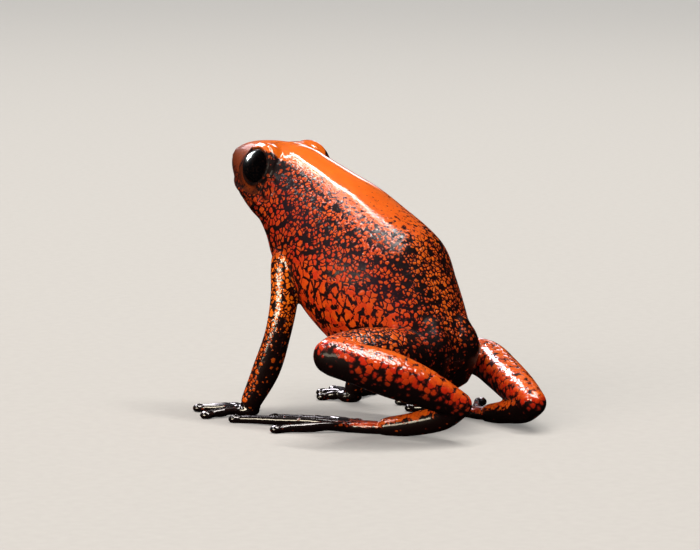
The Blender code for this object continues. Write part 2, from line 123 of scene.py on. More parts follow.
# Limb axes: points with their radius, from the root to the end
ARMS = {
    "left": ((3.2, -19.0, 17.0, 1.7), (5.05, -19.05, 14.9, 1.4), (5.9, -18.4, 11.4, 1.33),
             (6.8, -18.35, 8.0, 1.24), (7.4, -19.2, 4.6, 1.32), (8.15, -20.4, 1.5, 1.0)),
    "right": ((-3.2, -19.0, 17.0, 1.7), (-4.9, -18.9, 14.9, 1.4), (-6.1, -18.4, 11.4, 1.2),
              (-6.4, -17.6, 8.0, 1.32), (-6.2, -18.6, 4.6, 1.25), (-5.8, -19.9, 1.5, 0.95)),
}
THIGHS = {
    "left": ((3.0, -4.2, 6.7, 2.5), (5.4, -4.4, 7.2, 2.6), (8.6, -4.9, 7.7, 2.45),
             (11.5, -5.4, 7.9, 2.05), (13.3, -5.2, 7.9, 1.75)),
    "right": ((-2.3, -4.2, 6.6, 2.2), (-4.7, -6.3, 6.7, 2.35), (-7.0, -8.0, 6.5, 2.25),
              (-9.4, -9.4, 6.0, 1.95), (-10.9, -10.0, 5.6, 1.7)),
}
SHANKS = {
    "left": ((13.3, -5.0, 7.8, 1.75), (12.2, -3.1, 7.3, 1.9), (10.0, -1.0, 6.35, 2.1),
             (7.4, 1.1, 5.0, 1.8), (5.0, 3.0, 3.5, 1.25)),
    "right": ((-10.9, -9.8, 5.5, 1.7), (-10.9, -7.2, 5.1, 1.9), (-9.3, -3.9, 4.35, 1.85),
              (-7.2, 0.0, 3.4, 1.7), (-5.2, 3.4, 2.7, 1.3)),
}
FEET = {
    "left": ((5.0, 3.0, 3.5, 1.25), (5.0, 1.0, 2.1, 1.2), (5.7, -1.7, 1.25, 1.1),
             (6.5, -4.4, 0.7, 0.92)),
    "right": ((-5.2, 3.4, 2.7, 1.3), (-5.6, 1.9, 1.8, 1.25), (-6.2, -0.6, 1.25, 1.1),
              (-6.9, -3.2, 0.7, 0.95)),
}
# Tips of the digits on the floor, from the innermost to the outermost
FINGER_TIPS = {
    "left": ((5.4, -22.8), (7.4, -24.6), (9.8, -25.6), (12.2, -22.2)),
    "right": ((-4.6, -22.8), (-6.4, -24.6), (-8.7, -25.2), (-10.6, -22.0)),
}
TOE_TIPS = {
    "left": ((5.4, -9.8), (6.4, -13.2), (8.7, -16.6), (12.0, -18.6), (13.4, -11.8)),
    "right": ((-4.6, -8.6), (-5.6, -12.0), (-7.9, -15.4), (-11.4, -17.2), (-13.6, -10.2)),
}
SIDES = ("left", "right")

# The skin's patterns: millimetres from one spot, patch or grain to the next
SMALL_SPOT = 0.42
ROUND_SPOT = 0.6
CRACKED_PATCH = 0.8
GRAIN = 0.25  # nearer 0.1 in life, which is too fine to show, so it is drawn coarser
# Its broken edges and changes: waves of noise in a millimetre
SPOT_WANDER = 2.0
SPECKS = 2.3
TINTS = 1.1
PATCHES = 0.5
BLOTCHES = 1.1
GRIT = 4.6  # beads and grit of a fifth of a millimetre, also drawn coarser than in life
RELIEF = 0.00004  # metres that a spot stands up from the net, where it is raised by 1

# Its colours
NEAR_BLACK = "#150504"
# The near-black with a painted bluish sheen of reflected sky
BLACK_WITH_PAINTED_SHEEN = "#23121e"
DARK_RED_EDGE = "#4a0e08"
RED_ORANGE = "#bc2406"
YELLOW_ORANGE = "#e46a0c"
# The orange with a painted pinkish sheen of reflected sky
ORANGE_WITH_PAINTED_SHEEN = "#b2402c"
# The skin's own dark brown, which painted shade also darkens towards
DARK_BROWN_AND_SHADE = "#0a0404"

# The view of the photograph: where the camera stands round the frog, and what it is aimed at
CAMERA_AZIMUTH = radians(132)
CAMERA_HEIGHT = radians(7)
CAMERA_ROLL = radians(1)
CAMERA_DISTANCE = 320.0
CAMERA_AIM = Vector((2.0, -9.0, 11.8))
PIXELS_PER_MM = 10.6
FLOOR_FLAT = 2.4  # metres from the frog to where the paper starts to sweep up
FLOOR_SWEEP = 1.5  # metres: how far that sweep reaches, and how high
FLOOR_SIDES = 96
SWEEP_STEPS = 24
FRAME_WIDTH = 700
FRAME_HEIGHT = 550
AIM_PIXEL = (385, 300)


# Placing on the frame

def frame_shift():
    """What moves the frog's own measure onto the frame, found from where its left eye is."""
    low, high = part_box("eye_left")
    middle = [(low[k] + high[k]) / 2 * 1000 for k in range(3)]
    shift = Vector(middle) - EYE_CENTRE
    shift.z = 0.0
    return shift


SHIFT = frame_shift()


def on_frame(point):
    return (Vector(point) + SHIFT) / 1000


def linear(text):
    """An sRGB hex colour as the linear values that shaders take."""
    levels = [int(text[k:k + 2], 16) / 255 for k in (1, 3, 5)]
    return (*(v / 12.92 if v < 0.04045 else ((v + 0.055) / 1.055) ** 2.4 for v in levels), 1.0)


def add(tree, kind, feed=(), **settings):
    """Adds a node, sets it up, and gives each input its value or the output that feeds it."""
    made = tree.nodes.new(kind)
    for name, value in settings.items():
        setattr(made, name, value)
    for socket, value in dict(feed).items():
        if isinstance(value, bpy.types.NodeSocket):
            tree.links.new(value, made.inputs[socket])
        else:
            made.inputs[socket].default_value = value
    return made.outputs


def shown(name, data):
    """A new object of the data, in the scene."""
    item = bpy.data.objects.new(name, data)
    bpy.context.scene.collection.objects.link(item)
    return item


def mesh_of(bm, name):
    mesh = bpy.data.meshes.new(name)
    bm.to_mesh(mesh)
    bm.free()
    return mesh


def worked_out(item):
    """The mesh that an object's modifiers make. The object and its first mesh go."""
    graph = bpy.context.evaluated_depsgraph_get()
    made = bpy.data.meshes.new_from_object(item.evaluated_get(graph))
    first = item.data
    bpy.data.objects.remove(item, do_unlink=True)
    bpy.data.meshes.remove(first)
    return made


# Shapes that the skin is made of

def smooth_row(rows, t):
    """The Catmull-Rom value of rows of numbers at t, where each row is one unit apart."""
    i = min(int(t), len(rows) - 2)
    f = t - i
    a, b, c, d = (rows[max(0, min(len(rows) - 1, k))] for k in (i - 1, i, i + 1, i + 2))
    return [
        0.5 * (2 * q + (r - p) * f + (2 * p - 5 * q + 4 * r - s) * f * f
               + (3 * q - p - 3 * r + s) * f ** 3)
        for p, q, r, s in zip(a, b, c, d)
    ]


def skin_point(t, angle):
    """A point of the torso and head: t counts stations from the snout, angle 0 is the left."""
    top_y, top_z, low_y, low_z, width, low_full = smooth_row(STATIONS, t)
    up = sin(angle)
    side = cos(angle)
    if up > 0:
        up = up ** (2 / BACK_FULLNESS)
        side = copysign(abs(side) ** (2 / BACK_FULLNESS), side)
    return Vector((
        width * side * (1 - low_full * up),
        (top_y + low_y) / 2 + (top_y - low_y) / 2 * up,
        (top_z + low_z) / 2 + (top_z - low_z) / 2 * up,
    ))


def on_side(side, station, angle):
    """A point of the torso and head at the same place of the left or the right side."""
    return skin_point(station, angle if side == "left" else pi - angle)


def mirrored(point, side):
    return Vector((point[0] * (1 if side == "left" else -1), point[1], point[2]))


def loft(bm, rings):
    """Joins rings of points into one closed form with a capped start and end."""
    rows = [[bm.verts.new(point) for point in ring] for ring in rings]
    for low, high in zip(rows, rows[1:]):
        for k in range(len(low)):
            n = (k + 1) % len(low)
            bm.faces.new((low[k], low[n], high[n], high[k]))
    for row in (rows[0], rows[-1]):
        centre = bm.verts.new(sum((v.co for v in row), Vector()) / len(row))
        for k in range(len(row)):
            bm.faces.new((row[k], row[(k + 1) % len(row)], centre))


def trunk(bm, steps, sides):
    last = len(STATIONS) - 1
    loft(bm, [
        [skin_point(last * i / steps, 2 * pi * k / sides) for k in range(sides)]
        for i in range(steps + 1)
    ])


def sweep(nodes, count):
    """Frames along a limb's axis: point, tangent, two directions across it and the radius."""
    rows = [smooth_row(nodes, (len(nodes) - 1) * i / count) for i in range(count + 1)]
    points = [Vector(row[:3]) for row in rows]
    frames = []
    side = None
    for i, row in enumerate(rows):
        tangent = (points[min(i + 1, count)] - points[max(i - 1, 0)]).normalized()
        side = side or tangent.orthogonal()
        side = (side - tangent * side.dot(tangent)).normalized()
        frames.append((points[i], tangent, side, tangent.cross(side), row[3]))
    return frames


def tube(bm, nodes, sides=40, per_span=12):
    """A round limb along nodes of x, y, z and radius, with a dome at each end."""
    frames = sweep(nodes, (len(nodes) - 1) * per_span)
    rings = []
    for i, (point, tangent, side, across, radius) in enumerate(frames):
        domes = [(0.0, 1.0)]
        if i == 0:
            domes = [(-sin(a), cos(a)) for a in (1.3, 0.9, 0.5)] + domes
        if i == len(frames) - 1:
            domes = domes + [(sin(a), cos(a)) for a in (0.5, 0.9, 1.3)]
        for along, shrink in domes:
            centre = point + tangent * radius * along
            rings.append([
                centre + (side * cos(2 * pi * k / sides) + across * sin(2 * pi * k / sides))
                * radius * shrink
                for k in range(sides)
            ])
    loft(bm, rings)


def ball(bm, centre, radii, sides=32):
    """An ellipsoid of rings."""
    rings = []
    for i in range(1, sides // 2):
        a = 2 * pi * i / sides - pi / 2
        rings.append([
            centre + Vector((radii[0] * cos(a) * cos(2 * pi * k / sides),
                             radii[1] * cos(a) * sin(2 * pi * k / sides), radii[2] * sin(a)))
            for k in range(sides)
        ])
    loft(bm, rings)


def mouth_path():
    """Points of the mouth line, left corner to right, where its sloping plane meets the head."""
    half = []
    steps = 160
    head_stations = 6.0
    for i in range(steps):
        t = head_stations * i / steps
        top_y, top_z, low_y, low_z, _, _ = smooth_row(STATIONS, t)
        rise = (top_z - low_z + MOUTH_SLOPE * (top_y - low_y)) / 2
        middle = (top_z + low_z + MOUTH_SLOPE * (top_y + low_y)) / 2
        up = (MOUTH_FRONT.y + MOUTH_SLOPE * MOUTH_FRONT.x - middle) / rise
        if abs(up) < 1:
            point = skin_point(t, atan2(up, sqrt(1 - up * up)))
            if point.y < MOUTH_CORNER_Y:
                half.append(point)
    half = half[:-4:8] + [half[-1]]
    front = Vector((0.0, MOUTH_FRONT.x - 0.15, MOUTH_FRONT.y))
    # Points close to the front one would kink the line
    half = [p for p in half if (p - front).length > 0.9]
    right = [Vector((-p.x, p.y, p.z)) for p in half]
    return half[::-1] + [front] + right


def digit(bm, root, base, tip, radius, knuckle):
    """A finger or toe: its bone in the palm, its knuckles, and a disc with two scutes on it."""
    tip = Vector((tip[0], tip[1], SOLE_LIFT))
    path = [(*root, radius * 1.25), (*root.lerp(base, 0.5), radius * 1.3)]
    for f, lift, thick in ((0.0, 0.0, 1.15), (0.3, knuckle, 1.0), (0.55, knuckle * 0.6, 1.05),
                           (0.8, 0.08, 0.88), (1.0, 0.0, 0.85)):
        point = base.lerp(tip, f)
        path.append((point.x, point.y, point.z + lift, radius * thick))
    tube(bm, path, sides=24, per_span=6)
    reach = (tip - base).normalized()
    across = Vector((-reach.y, reach.x, 0.0)).normalized()
    disc = tip + reach * 0.15
    ball(bm, disc, (DISC_RADIUS, DISC_RADIUS, DISC_THICKNESS), 24)
    for turn in (-1, 1):
        scute = disc + across * turn * 0.24 + reach * 0.08
        ball(bm, scute + Vector((0, 0, 0.26)), (0.24, 0.24, 0.2), 16)


def fan(bm, root, tips, radius, setting):
    """All the digits of one hand or foot, which lie together in it and then part."""
    palm, spread, knuckle = setting
    middle = sum((Vector((x, y, 0.0)) for x, y in tips), Vector()) / len(tips)
    for x, y in tips:
        tip = Vector((x, y, 0.0))
        base = root.lerp(middle, palm) + (tip - middle) * spread
        base.z = BONE_LIFT
        digit(bm, root, base, tip, radius, knuckle)


def flesh(mouth):
    """Every fleshy form overlapped in one mesh, turned into one closed even net of quads."""
    bm = bmesh.new()
    trunk(bm, steps=160, sides=96)
    lips = [(p.x * 0.985, p.y + 0.1, p.z + 0.3, LIP_RADIUS) for p in mouth]
    tube(bm, lips, sides=16, per_span=2)
    ball(bm, PELVIS_CENTRE, PELVIS_RADII, 64)
    tube(bm, CROWN)
    for side in SIDES:
        ball(bm, mirrored(EYE_CENTRE, side), (LID_RADIUS,) * 3, 64)
        for limb in (HAUNCHES, ARMS, THIGHS, SHANKS, FEET):
            tube(bm, limb[side])
        wrist = Vector(ARMS[side][-1][:3])
        ball(bm, Vector((wrist.x, wrist.y - 0.6, PALM_LIFT)), PALM_RADII)
        palm = Vector((wrist.x, wrist.y - 0.4, PALM_LIFT))
        fan(bm, palm, FINGER_TIPS[side], FINGER_RADIUS, FINGER_SET)
        sole = Vector(FEET[side][-1][:3])
        sole.z = SOLE_CENTRE_LIFT
        fan(bm, sole, TOE_TIPS[side], TOE_RADIUS, TOE_SET)
    bmesh.ops.recalc_face_normals(bm, faces=bm.faces)
    body = shown("flesh", mesh_of(bm, "flesh"))
    net = body.modifiers.new("net", "REMESH")
    net.mode = "VOXEL"
    net.voxel_size = SKIN_VOXEL
    return worked_out(body)


# Working on the skin's points

def ramp(low, high, value):
    """0 below low, 1 above high, smooth between; low may be the higher of the two."""
    share = np.clip((value - low) / (high - low), 0.0, 1.0)
    return share * share * (3 - 2 * share)


class Skin:
    """The skin's points and edges, with the moves that model it."""

    def __init__(self, mesh):
        count = len(mesh.vertices)
        self.mesh = mesh
        self.points = np.empty(count * 3)
        mesh.vertices.foreach_get("co", self.points)
        self.points = self.points.reshape(-1, 3)
        edges = np.empty(len(mesh.edges) * 2, dtype=np.int64)
        mesh.edges.foreach_get("vertices", edges)
        edges = edges.reshape(-1, 2)
        self.ends = np.concatenate([edges[:, 0], edges[:, 1]])
        self.others = np.concatenate([edges[:, 1], edges[:, 0]])
        self.valence = np.bincount(self.ends, minlength=count)

    def drift(self):
        """How far each point is from the middle of its neighbours."""
        count = len(self.points)
        middle = np.stack([
            np.bincount(self.ends, self.points[self.others, k], count) for k in range(3)
        ], axis=1)
        return middle / self.valence[:, None] - self.points

    def relax(self, turns):
        """Smooths without shrinking: each turn pulls in and pushes back out."""
        for _ in range(turns):
            self.points += 0.5 * self.drift()
            self.points -= 0.52 * self.drift()

    def store(self):
        self.mesh.vertices.foreach_set("co", self.points.astype(np.float32).ravel())
        self.mesh.update()

    def normals(self):
        self.store()
        found = np.empty(len(self.points) * 3, dtype=np.float32)
        self.mesh.vertices.foreach_get("normal", found)
        return found.reshape(-1, 3).astype(float)

    def hollow(self):
        """Curvature in turns per millimetre, above 0 in a hollow, evened out over neighbours."""
        count = len(self.points)
        length = np.linalg.norm(self.points[self.ends] - self.points[self.others], axis=1)
        square = np.bincount(self.ends, length ** 2, count) / self.valence
        bend = 2 * np.einsum("ij,ij->i", self.drift(), self.normals()) / square
        for _ in range(3):
            bend = (bend + np.bincount(self.ends, bend[self.others], count) / self.valence) / 2
        return bend

    def raise_by(self, height):
        self.points += self.normals() * height[:, None]


def away(points, centre):
    return np.linalg.norm(points - np.array(centre), axis=1)


def shape_lids(skin):
    """Opens the lids over each eye, with a thin soft rim that hugs the eyeball."""
    for side in SIDES:
        eye = np.array(mirrored(EYE_CENTRE, side))
        gaze = np.array(mirrored(GAZE, side))
        near = np.flatnonzero(away(skin.points, eye) < 4.0)
        arm = skin.points[near] - eye
        reach = np.linalg.norm(arm, axis=1)
        turn = np.arccos(np.clip(arm @ gaze / reach, -1, 1)) - EYE_OPENING
        rim = LID_INSIDE + (LID_EDGE - LID_INSIDE) * ramp(radians(-5), radians(2), turn)
        rim += (0.1 * ramp(radians(0), radians(7), turn)
                + 0.22 * ramp(radians(8), radians(24), turn))
        blend = ramp(radians(5), radians(19), turn)
        wanted = rim * (1 - blend) + reach * blend
        skin.points[near] = eye + arm / reach[:, None] * wanted[:, None]


def nearest_on(points, path):
    """Distance to a path of points and the height above it, for each point."""
    best = np.full(len(points), 1e9)
    above = np.zeros(len(points))
    for start, end in zip(path, path[1:]):
        start = np.array(start)
        span = np.array(end) - start
        share = np.clip((points - start) @ span / (span @ span), 0, 1)
        foot = start + share[:, None] * span
        far = np.linalg.norm(points - foot, axis=1)
        closer = far < best
        best[closer] = far[closer]
        above[closer] = (points - foot)[closer, 2]
    return best, above


def shape_face(skin, mouth):
    """Presses in the mouth line, nostrils and ear discs, and raises the lips and rims. The lips
    are widest 0.35 mm above and below the line."""
    points = skin.points
    line, above = nearest_on(points, mouth)
    lift = -MOUTH_LINE_DEPTH * np.exp(-(line / 0.15) ** 2)
    lift += 0.07 * np.exp(-((above - 0.36) / 0.2) ** 2) * ramp(0.9, 0.4, line)
    lift += 0.04 * np.exp(-((above + 0.34) / 0.18) ** 2) * ramp(0.8, 0.4, line)
    for side in SIDES:
        hole = away(points, on_side(side, NOSTRIL_STATION, NOSTRIL_ANGLE))
        lift += (-NOSTRIL_DEPTH * np.exp(-(hole / NOSTRIL_RADIUS) ** 2)
                 + 0.05 * np.exp(-((hole - 0.36) / 0.13) ** 2))
        ear = away(points, on_side(side, EAR_STATION, EAR_ANGLE))
        lift -= EAR_GROOVE_DEPTH * np.exp(-((ear - EAR_RADIUS) / 0.13) ** 2)
        lift += 0.04 * np.exp(-((ear - EAR_RADIUS + 0.22) / 0.1) ** 2)
        lift -= 0.05 * ramp(0.6, 0.3, ear)
    skin.raise_by(lift)


def along_trunk(points):
    """Each point's station, and its angle from the midline of the back: 0 on top, pi below."""
    last = len(STATIONS) - 1
    station = np.zeros(len(points))
    turn = np.zeros(len(points))
    steps = 20 * last
    before = None
    for i in range(steps + 1):
        top_y, top_z, low_y, low_z, width, _ = smooth_row(STATIONS, last * i / steps)
        dy = points[:, 1] - (top_y + low_y) / 2
        dz = points[:, 2] - (top_z + low_z) / 2
        up_y = (top_y - low_y) / 2
        up_z = (top_z - low_z) / 2
        half = sqrt(up_y ** 2 + up_z ** 2)
        behind = (dy * up_z - dz * up_y) / half
        passed = behind >= 0 if before is None else (behind >= 0) & before
        up = (dy * up_y + dz * up_z) / half ** 2
        angle = np.arctan2(np.abs(points[:, 0]) / width, up)
        station[passed] = last * i / steps
        turn[passed] = angle[passed]
        before = passed
    return station, turn


def along_limb(points, nodes, count=60):
    """Share of the way along a limb, the gap to its surface, and where round its axis."""
    gap = np.full(len(points), 1e9)
    share = np.zeros(len(points))
    round_it = np.zeros((len(points), 3))
    for i, (centre, _, _, _, radius) in enumerate(sweep(nodes, count)):
        arm = points - np.array(centre)
        here = np.linalg.norm(arm, axis=1) - radius
        closer = here < gap
        gap[closer] = here[closer]
        share[closer] = i / count
        round_it[closer] = arm[closer] / radius
    return share, gap, round_it


# Markings

# Each table covers the torso and head. Its rows stand at stations, counted from the snout, and
# each row has a value for each of these angles, in degrees from the midline of the back
TURNS = (0, 12, 22, 35, 50, 65, 80, 100, 125, 180)
# The share of skin that is orange
COVER = {
    0.0: (0.97, 0.97, 0.97, 0.97, 0.97, 0.97, 0.95, 0.9, 0.6, 0.5),
    2.0: (0.99, 0.99, 0.99, 0.97, 0.96, 0.96, 0.94, 0.85, 0.5, 0.45),
    3.5: (0.997, 0.997, 0.995, 0.99, 0.9, 0.85, 0.8, 0.7, 0.5, 0.45),
    4.5: (0.997, 0.997, 0.995, 0.93, 0.35, 0.4, 0.75, 0.65, 0.55, 0.5),
    5.5: (0.997, 0.997, 0.99, 0.78, 0.5, 0.6, 0.8, 0.65, 0.6, 0.5),
    6.5: (0.995, 0.995, 0.985, 0.68, 0.6, 0.6, 0.65, 0.65, 0.6, 0.5),
    7.5: (0.97, 0.97, 0.95, 0.62, 0.6, 0.56, 0.62, 0.62, 0.56, 0.5),
    8.5: (0.93, 0.93, 0.86, 0.6, 0.62, 0.6, 0.66, 0.76, 0.65, 0.5),
    9.5: (0.86, 0.86, 0.76, 0.58, 0.62, 0.6, 0.74, 0.84, 0.7, 0.5),
    10.5: (0.78, 0.74, 0.52, 0.48, 0.58, 0.58, 0.76, 0.88, 0.72, 0.5),
    11.5: (0.74, 0.66, 0.4, 0.42, 0.54, 0.58, 0.74, 0.86, 0.74, 0.5),
    12.5: (0.7, 0.64, 0.42, 0.4, 0.54, 0.66, 0.76, 0.78, 0.7, 0.5),
    13.5: (0.68, 0.66, 0.58, 0.54, 0.62, 0.66, 0.68, 0.64, 0.55, 0.4),
    14.5: (0.66, 0.64, 0.62, 0.6, 0.6, 0.56, 0.52, 0.45, 0.35, 0.2),
    16.0: (0.52, 0.5, 0.5, 0.46, 0.42, 0.34, 0.26, 0.16, 0.08, 0.1),
}
# The size of the spots: 0 speckles, 0.33 small spots, 0.66 round spots, 1 blotches
BREADTH = {
    2.5: (0.0, 0.0, 0.0, 0.0, 0.0, 0.0, 0.1, 0.5, 0.6, 0.6),
    4.5: (0.0, 0.0, 0.0, 0.1, 0.5, 0.6, 0.66, 0.66, 0.66, 0.66),
    6.5: (0.0, 0.0, 0.0, 0.24, 0.36, 0.58, 0.66, 0.66, 0.66, 0.66),
    7.5: (0.0, 0.0, 0.0, 0.2, 0.28, 0.45, 0.66, 0.66, 0.66, 0.66),
    8.5: (0.0, 0.0, 0.0, 0.18, 0.25, 0.36, 0.7, 0.86, 0.86, 0.8),
    9.5: (0.0, 0.0, 0.0, 0.18, 0.25, 0.34, 0.8, 0.96, 0.95, 0.9),
    10.5: (0.12, 0.12, 0.12, 0.18, 0.22, 0.3, 0.86, 1.0, 1.0, 0.9),
    11.5: (0.36, 0.33, 0.3, 0.24, 0.24, 0.32, 0.86, 1.0, 1.0, 0.9),
    12.5: (0.36, 0.36, 0.33, 0.3, 0.35, 0.7, 0.95, 0.95, 0.9, 0.8),
    13.5: (0.36, 0.36, 0.36, 0.36, 0.45, 0.64, 0.7, 0.6, 0.6, 0.6),
    16.0: (0.4, 0.4, 0.4, 0.42, 0.45, 0.5, 0.5, 0.5, 0.5, 0.5),
}
# The width of the dark net between the spots
NET = {
    0.0: (0.0, 0.0, 0.0, 0.0, 0.0, 0.0, 0.02, 0.05, 0.06, 0.06),
    4.5: (0.0, 0.0, 0.0, 0.02, 0.06, 0.07, 0.07, 0.07, 0.07, 0.07),
    8.5: (0.01, 0.01, 0.03, 0.05, 0.06, 0.07, 0.06, 0.05, 0.05, 0.05),
    11.5: (0.06, 0.06, 0.07, 0.07, 0.06, 0.06, 0.04, 0.04, 0.04, 0.04),
    16.0: (0.08, 0.08, 0.09, 0.1, 0.1, 0.1, 0.1, 0.1, 0.1, 0.1),
}
# How far the orange leans from red to yellow
WARMTH = {
    0.0: (0.9, 0.9, 0.9, 0.9, 0.85, 0.8, 0.7, 0.4, 0.2, 0.1),
    3.0: (1.0, 1.0, 1.0, 0.95, 0.8, 0.7, 0.5, 0.3, 0.2, 0.1),
    4.5: (1.0, 1.0, 1.0, 0.9, 0.35, 0.3, 0.4, 0.2, 0.1, 0.1),
    5.5: (1.0, 1.0, 1.0, 0.65, 0.25, 0.25, 0.3, 0.2, 0.1, 0.1),
    7.0: (0.95, 0.95, 0.9, 0.5, 0.3, 0.15, 0.15, 0.15, 0.1, 0.1),
    8.5: (0.7, 0.75, 0.8, 0.5, 0.4, 0.2, 0.2, 0.25, 0.2, 0.2),
    10.5: (0.55, 0.6, 0.6, 0.45, 0.3, 0.2, 0.25, 0.3, 0.2, 0.2),
    12.0: (0.7, 0.65, 0.5, 0.4, 0.3, 0.28, 0.35, 0.35, 0.25, 0.2),
    13.5: (0.6, 0.6, 0.5, 0.4, 0.3, 0.25, 0.25, 0.2, 0.2, 0.2),
    16.0: (0.5, 0.5, 0.4, 0.3, 0.2, 0.1, 0.1, 0.1, 0.1, 0.1),
}
# How dark the skin is: its own dark brown and black, and towards the rear end and the belly also
# painted shade
DARK_TONE_AND_SHADE = {
    0.0: (0.75, 0.76, 0.78, 0.82, 0.84, 0.85, 0.86, 0.88, 0.9, 0.85),
    1.5: (0.55, 0.6, 0.68, 0.78, 0.82, 0.84, 0.85, 0.88, 0.9, 0.85),
    3.0: (0.15, 0.2, 0.35, 0.6, 0.74, 0.78, 0.78, 0.8, 0.85, 0.8),
    4.0: (0.0, 0.0, 0.05, 0.2, 0.6, 0.66, 0.45, 0.45, 0.75, 0.7),
    5.0: (0.0, 0.0, 0.0, 0.2, 0.7, 0.6, 0.35, 0.35, 0.65, 0.6),
    6.0: (0.0, 0.0, 0.0, 0.15, 0.35, 0.25, 0.2, 0.3, 0.5, 0.5),
    7.0: (0.0, 0.0, 0.0, 0.1, 0.15, 0.2, 0.2, 0.35, 0.45, 0.4),
    8.0: (0.0, 0.0, 0.0, 0.05, 0.05, 0.2, 0.2, 0.3, 0.4, 0.3),
    9.0: (0.0, 0.0, 0.0, 0.03, 0.03, 0.1, 0.0, 0.0, 0.2, 0.2),
    11.0: (0.0, 0.0, 0.15, 0.12, 0.03, 0.08, 0.0, 0.0, 0.2, 0.2),
    12.5: (0.0, 0.0, 0.2, 0.2, 0.08, 0.05, 0.0, 0.0, 0.2, 0.2),
    13.5: (0.0, 0.0, 0.1, 0.15, 0.05, 0.05, 0.05, 0.1, 0.2, 0.2),
    14.5: (0.05, 0.05, 0.1, 0.15, 0.2, 0.3, 0.35, 0.4, 0.5, 0.4),
    16.0: (0.2, 0.25, 0.3, 0.4, 0.5, 0.6, 0.7, 0.7, 0.7, 0.6),
}
# How strongly a bluish sheen of reflected sky is painted on the dark skin, and a pinker one on the
# orange
PAINTED_SHEEN = {
    3.5: (0.0, 0.0, 0.0, 0.0, 0.0, 0.0, 0.0, 0.0, 0.0, 0.0),
    4.5: (0.0, 0.0, 0.0, 0.1, 0.5, 0.3, 0.0, 0.0, 0.0, 0.0),
    6.0: (0.0, 0.0, 0.0, 0.2, 0.6, 0.6, 0.15, 0.0, 0.0, 0.0),
    7.5: (0.0, 0.0, 0.0, 0.1, 0.4, 1.0, 0.5, 0.1, 0.0, 0.0),
    8.8: (0.0, 0.0, 0.0, 0.1, 0.1, 0.4, 0.2, 0.0, 0.0, 0.0),
    10.5: (0.0, 0.0, 0.0, 0.2, 0.5, 1.0, 0.4, 0.0, 0.0, 0.0),
    11.8: (0.0, 0.0, 0.0, 0.1, 0.5, 1.0, 0.4, 0.0, 0.0, 0.0),
    13.5: (0.0, 0.0, 0.0, 0.0, 0.0, 0.1, 0.0, 0.0, 0.0, 0.0),
}
# How much water stands on the skin
WET = {
    0.0: (0.15, 0.15, 0.15, 0.15, 0.15, 0.15, 0.15, 0.15, 0.3, 0.3),
    3.0: (0.3, 0.3, 0.25, 0.08, 0.08, 0.08, 0.1, 0.12, 0.2, 0.2),
    3.6: (0.4, 0.5, 0.7, 1.0, 0.9, 0.2, 0.1, 0.12, 0.2, 0.2),
    4.5: (0.5, 0.7, 1.0, 0.9, 0.25, 0.12, 0.12, 0.12, 0.2, 0.2),
    6.0: (0.35, 0.6, 1.0, 1.0, 0.3, 0.1, 0.1, 0.08, 0.1, 0.2),
    7.5: (0.3, 0.55, 1.0, 1.0, 0.4, 0.1, 0.08, 0.06, 0.1, 0.2),
    9.5: (0.3, 0.6, 1.0, 1.0, 0.35, 0.1, 0.1, 0.06, 0.1, 0.2),
    10.8: (0.35, 0.7, 1.0, 0.5, 0.25, 0.1, 0.1, 0.06, 0.1, 0.2),
    11.4: (0.45, 0.4, 0.1, 0.08, 0.08, 0.08, 0.08, 0.1, 0.15, 0.2),
    13.0: (0.6, 0.5, 0.2, 0.12, 0.06, 0.05, 0.06, 0.1, 0.2, 0.2),
    16.0: (0.6, 0.5, 0.3, 0.15, 0.06, 0.06, 0.1, 0.2, 0.3, 0.3),
}
# How far that water is broken up by grains that stand out of it
BROKEN = {
    0.0: (0.2, 0.2, 0.2, 0.2, 0.2, 0.2, 0.2, 0.2, 0.2, 0.2),
    4.0: (0.0, 0.0, 0.05, 0.3, 0.4, 0.3, 0.2, 0.2, 0.2, 0.2),
    6.0: (0.0, 0.0, 0.1, 0.5, 1.0, 0.9, 0.2, 0.2, 0.2, 0.2),
    8.0: (0.0, 0.1, 0.2, 0.75, 1.0, 1.0, 0.3, 0.2, 0.2, 0.2),
    9.5: (0.3, 0.3, 0.45, 0.95, 1.0, 1.0, 0.4, 0.3, 0.3, 0.3),
    11.0: (0.7, 0.5, 0.5, 0.9, 1.0, 0.9, 0.5, 0.3, 0.3, 0.3),
    13.0: (0.8, 0.8, 0.8, 0.8, 0.8, 0.6, 0.5, 0.4, 0.4, 0.4),
    16.0: (0.7, 0.7, 0.7, 0.7, 0.6, 0.5, 0.5, 0.5, 0.5, 0.5),
}
# How far the spots stand up from the net
RAISED = {
    0.0: (0.0, 0.0, 0.0, 0.0, 0.0, 0.0, 0.1, 0.3, 0.3, 0.3),
    4.5: (0.0, 0.0, 0.0, 0.1, 0.4, 0.6, 0.6, 0.6, 0.6, 0.6),
    8.0: (0.0, 0.0, 0.0, 0.4, 0.7, 0.8, 0.8, 0.7, 0.6, 0.6),
    10.0: (0.2, 0.1, 0.1, 0.5, 0.7, 0.7, 0.6, 0.5, 0.5, 0.5),
    11.5: (1.2, 1.0, 0.8, 0.8, 0.8, 0.7, 0.6, 0.5, 0.5, 0.5),
    13.5: (1.6, 1.5, 1.4, 1.2, 1.0, 0.9, 0.8, 0.8, 0.8, 0.8),
    16.0: (1.4, 1.4, 1.4, 1.2, 1.1, 1.0, 1.0, 0.8, 0.8, 0.8),
}
TABLES = {"cover": COVER, "breadth": BREADTH, "net": NET, "warmth": WARMTH, "dark_tone_and_shade": DARK_TONE_AND_SHADE,
          "painted_sheen": PAINTED_SHEEN, "wet": WET, "broken": BROKEN, "raised": RAISED}


def from_table(table, station, turn):
    """A value for each point, smooth between the table's stations and angles."""
    places = sorted(table)
    columns = np.array([table[place] for place in places])
    found = np.zeros(len(station))
    for k in range(len(TURNS)):
        weight = np.interp(turn, np.radians(TURNS), np.eye(len(TURNS))[k])
        found += weight * np.interp(station, places, columns[:, k])
    return found


def blend(values, weight, wanted):
    """Moves each named value towards what a limb wants, by the weight."""
    for name, value in wanted.items():
        values[name] += (value - values[name]) * weight


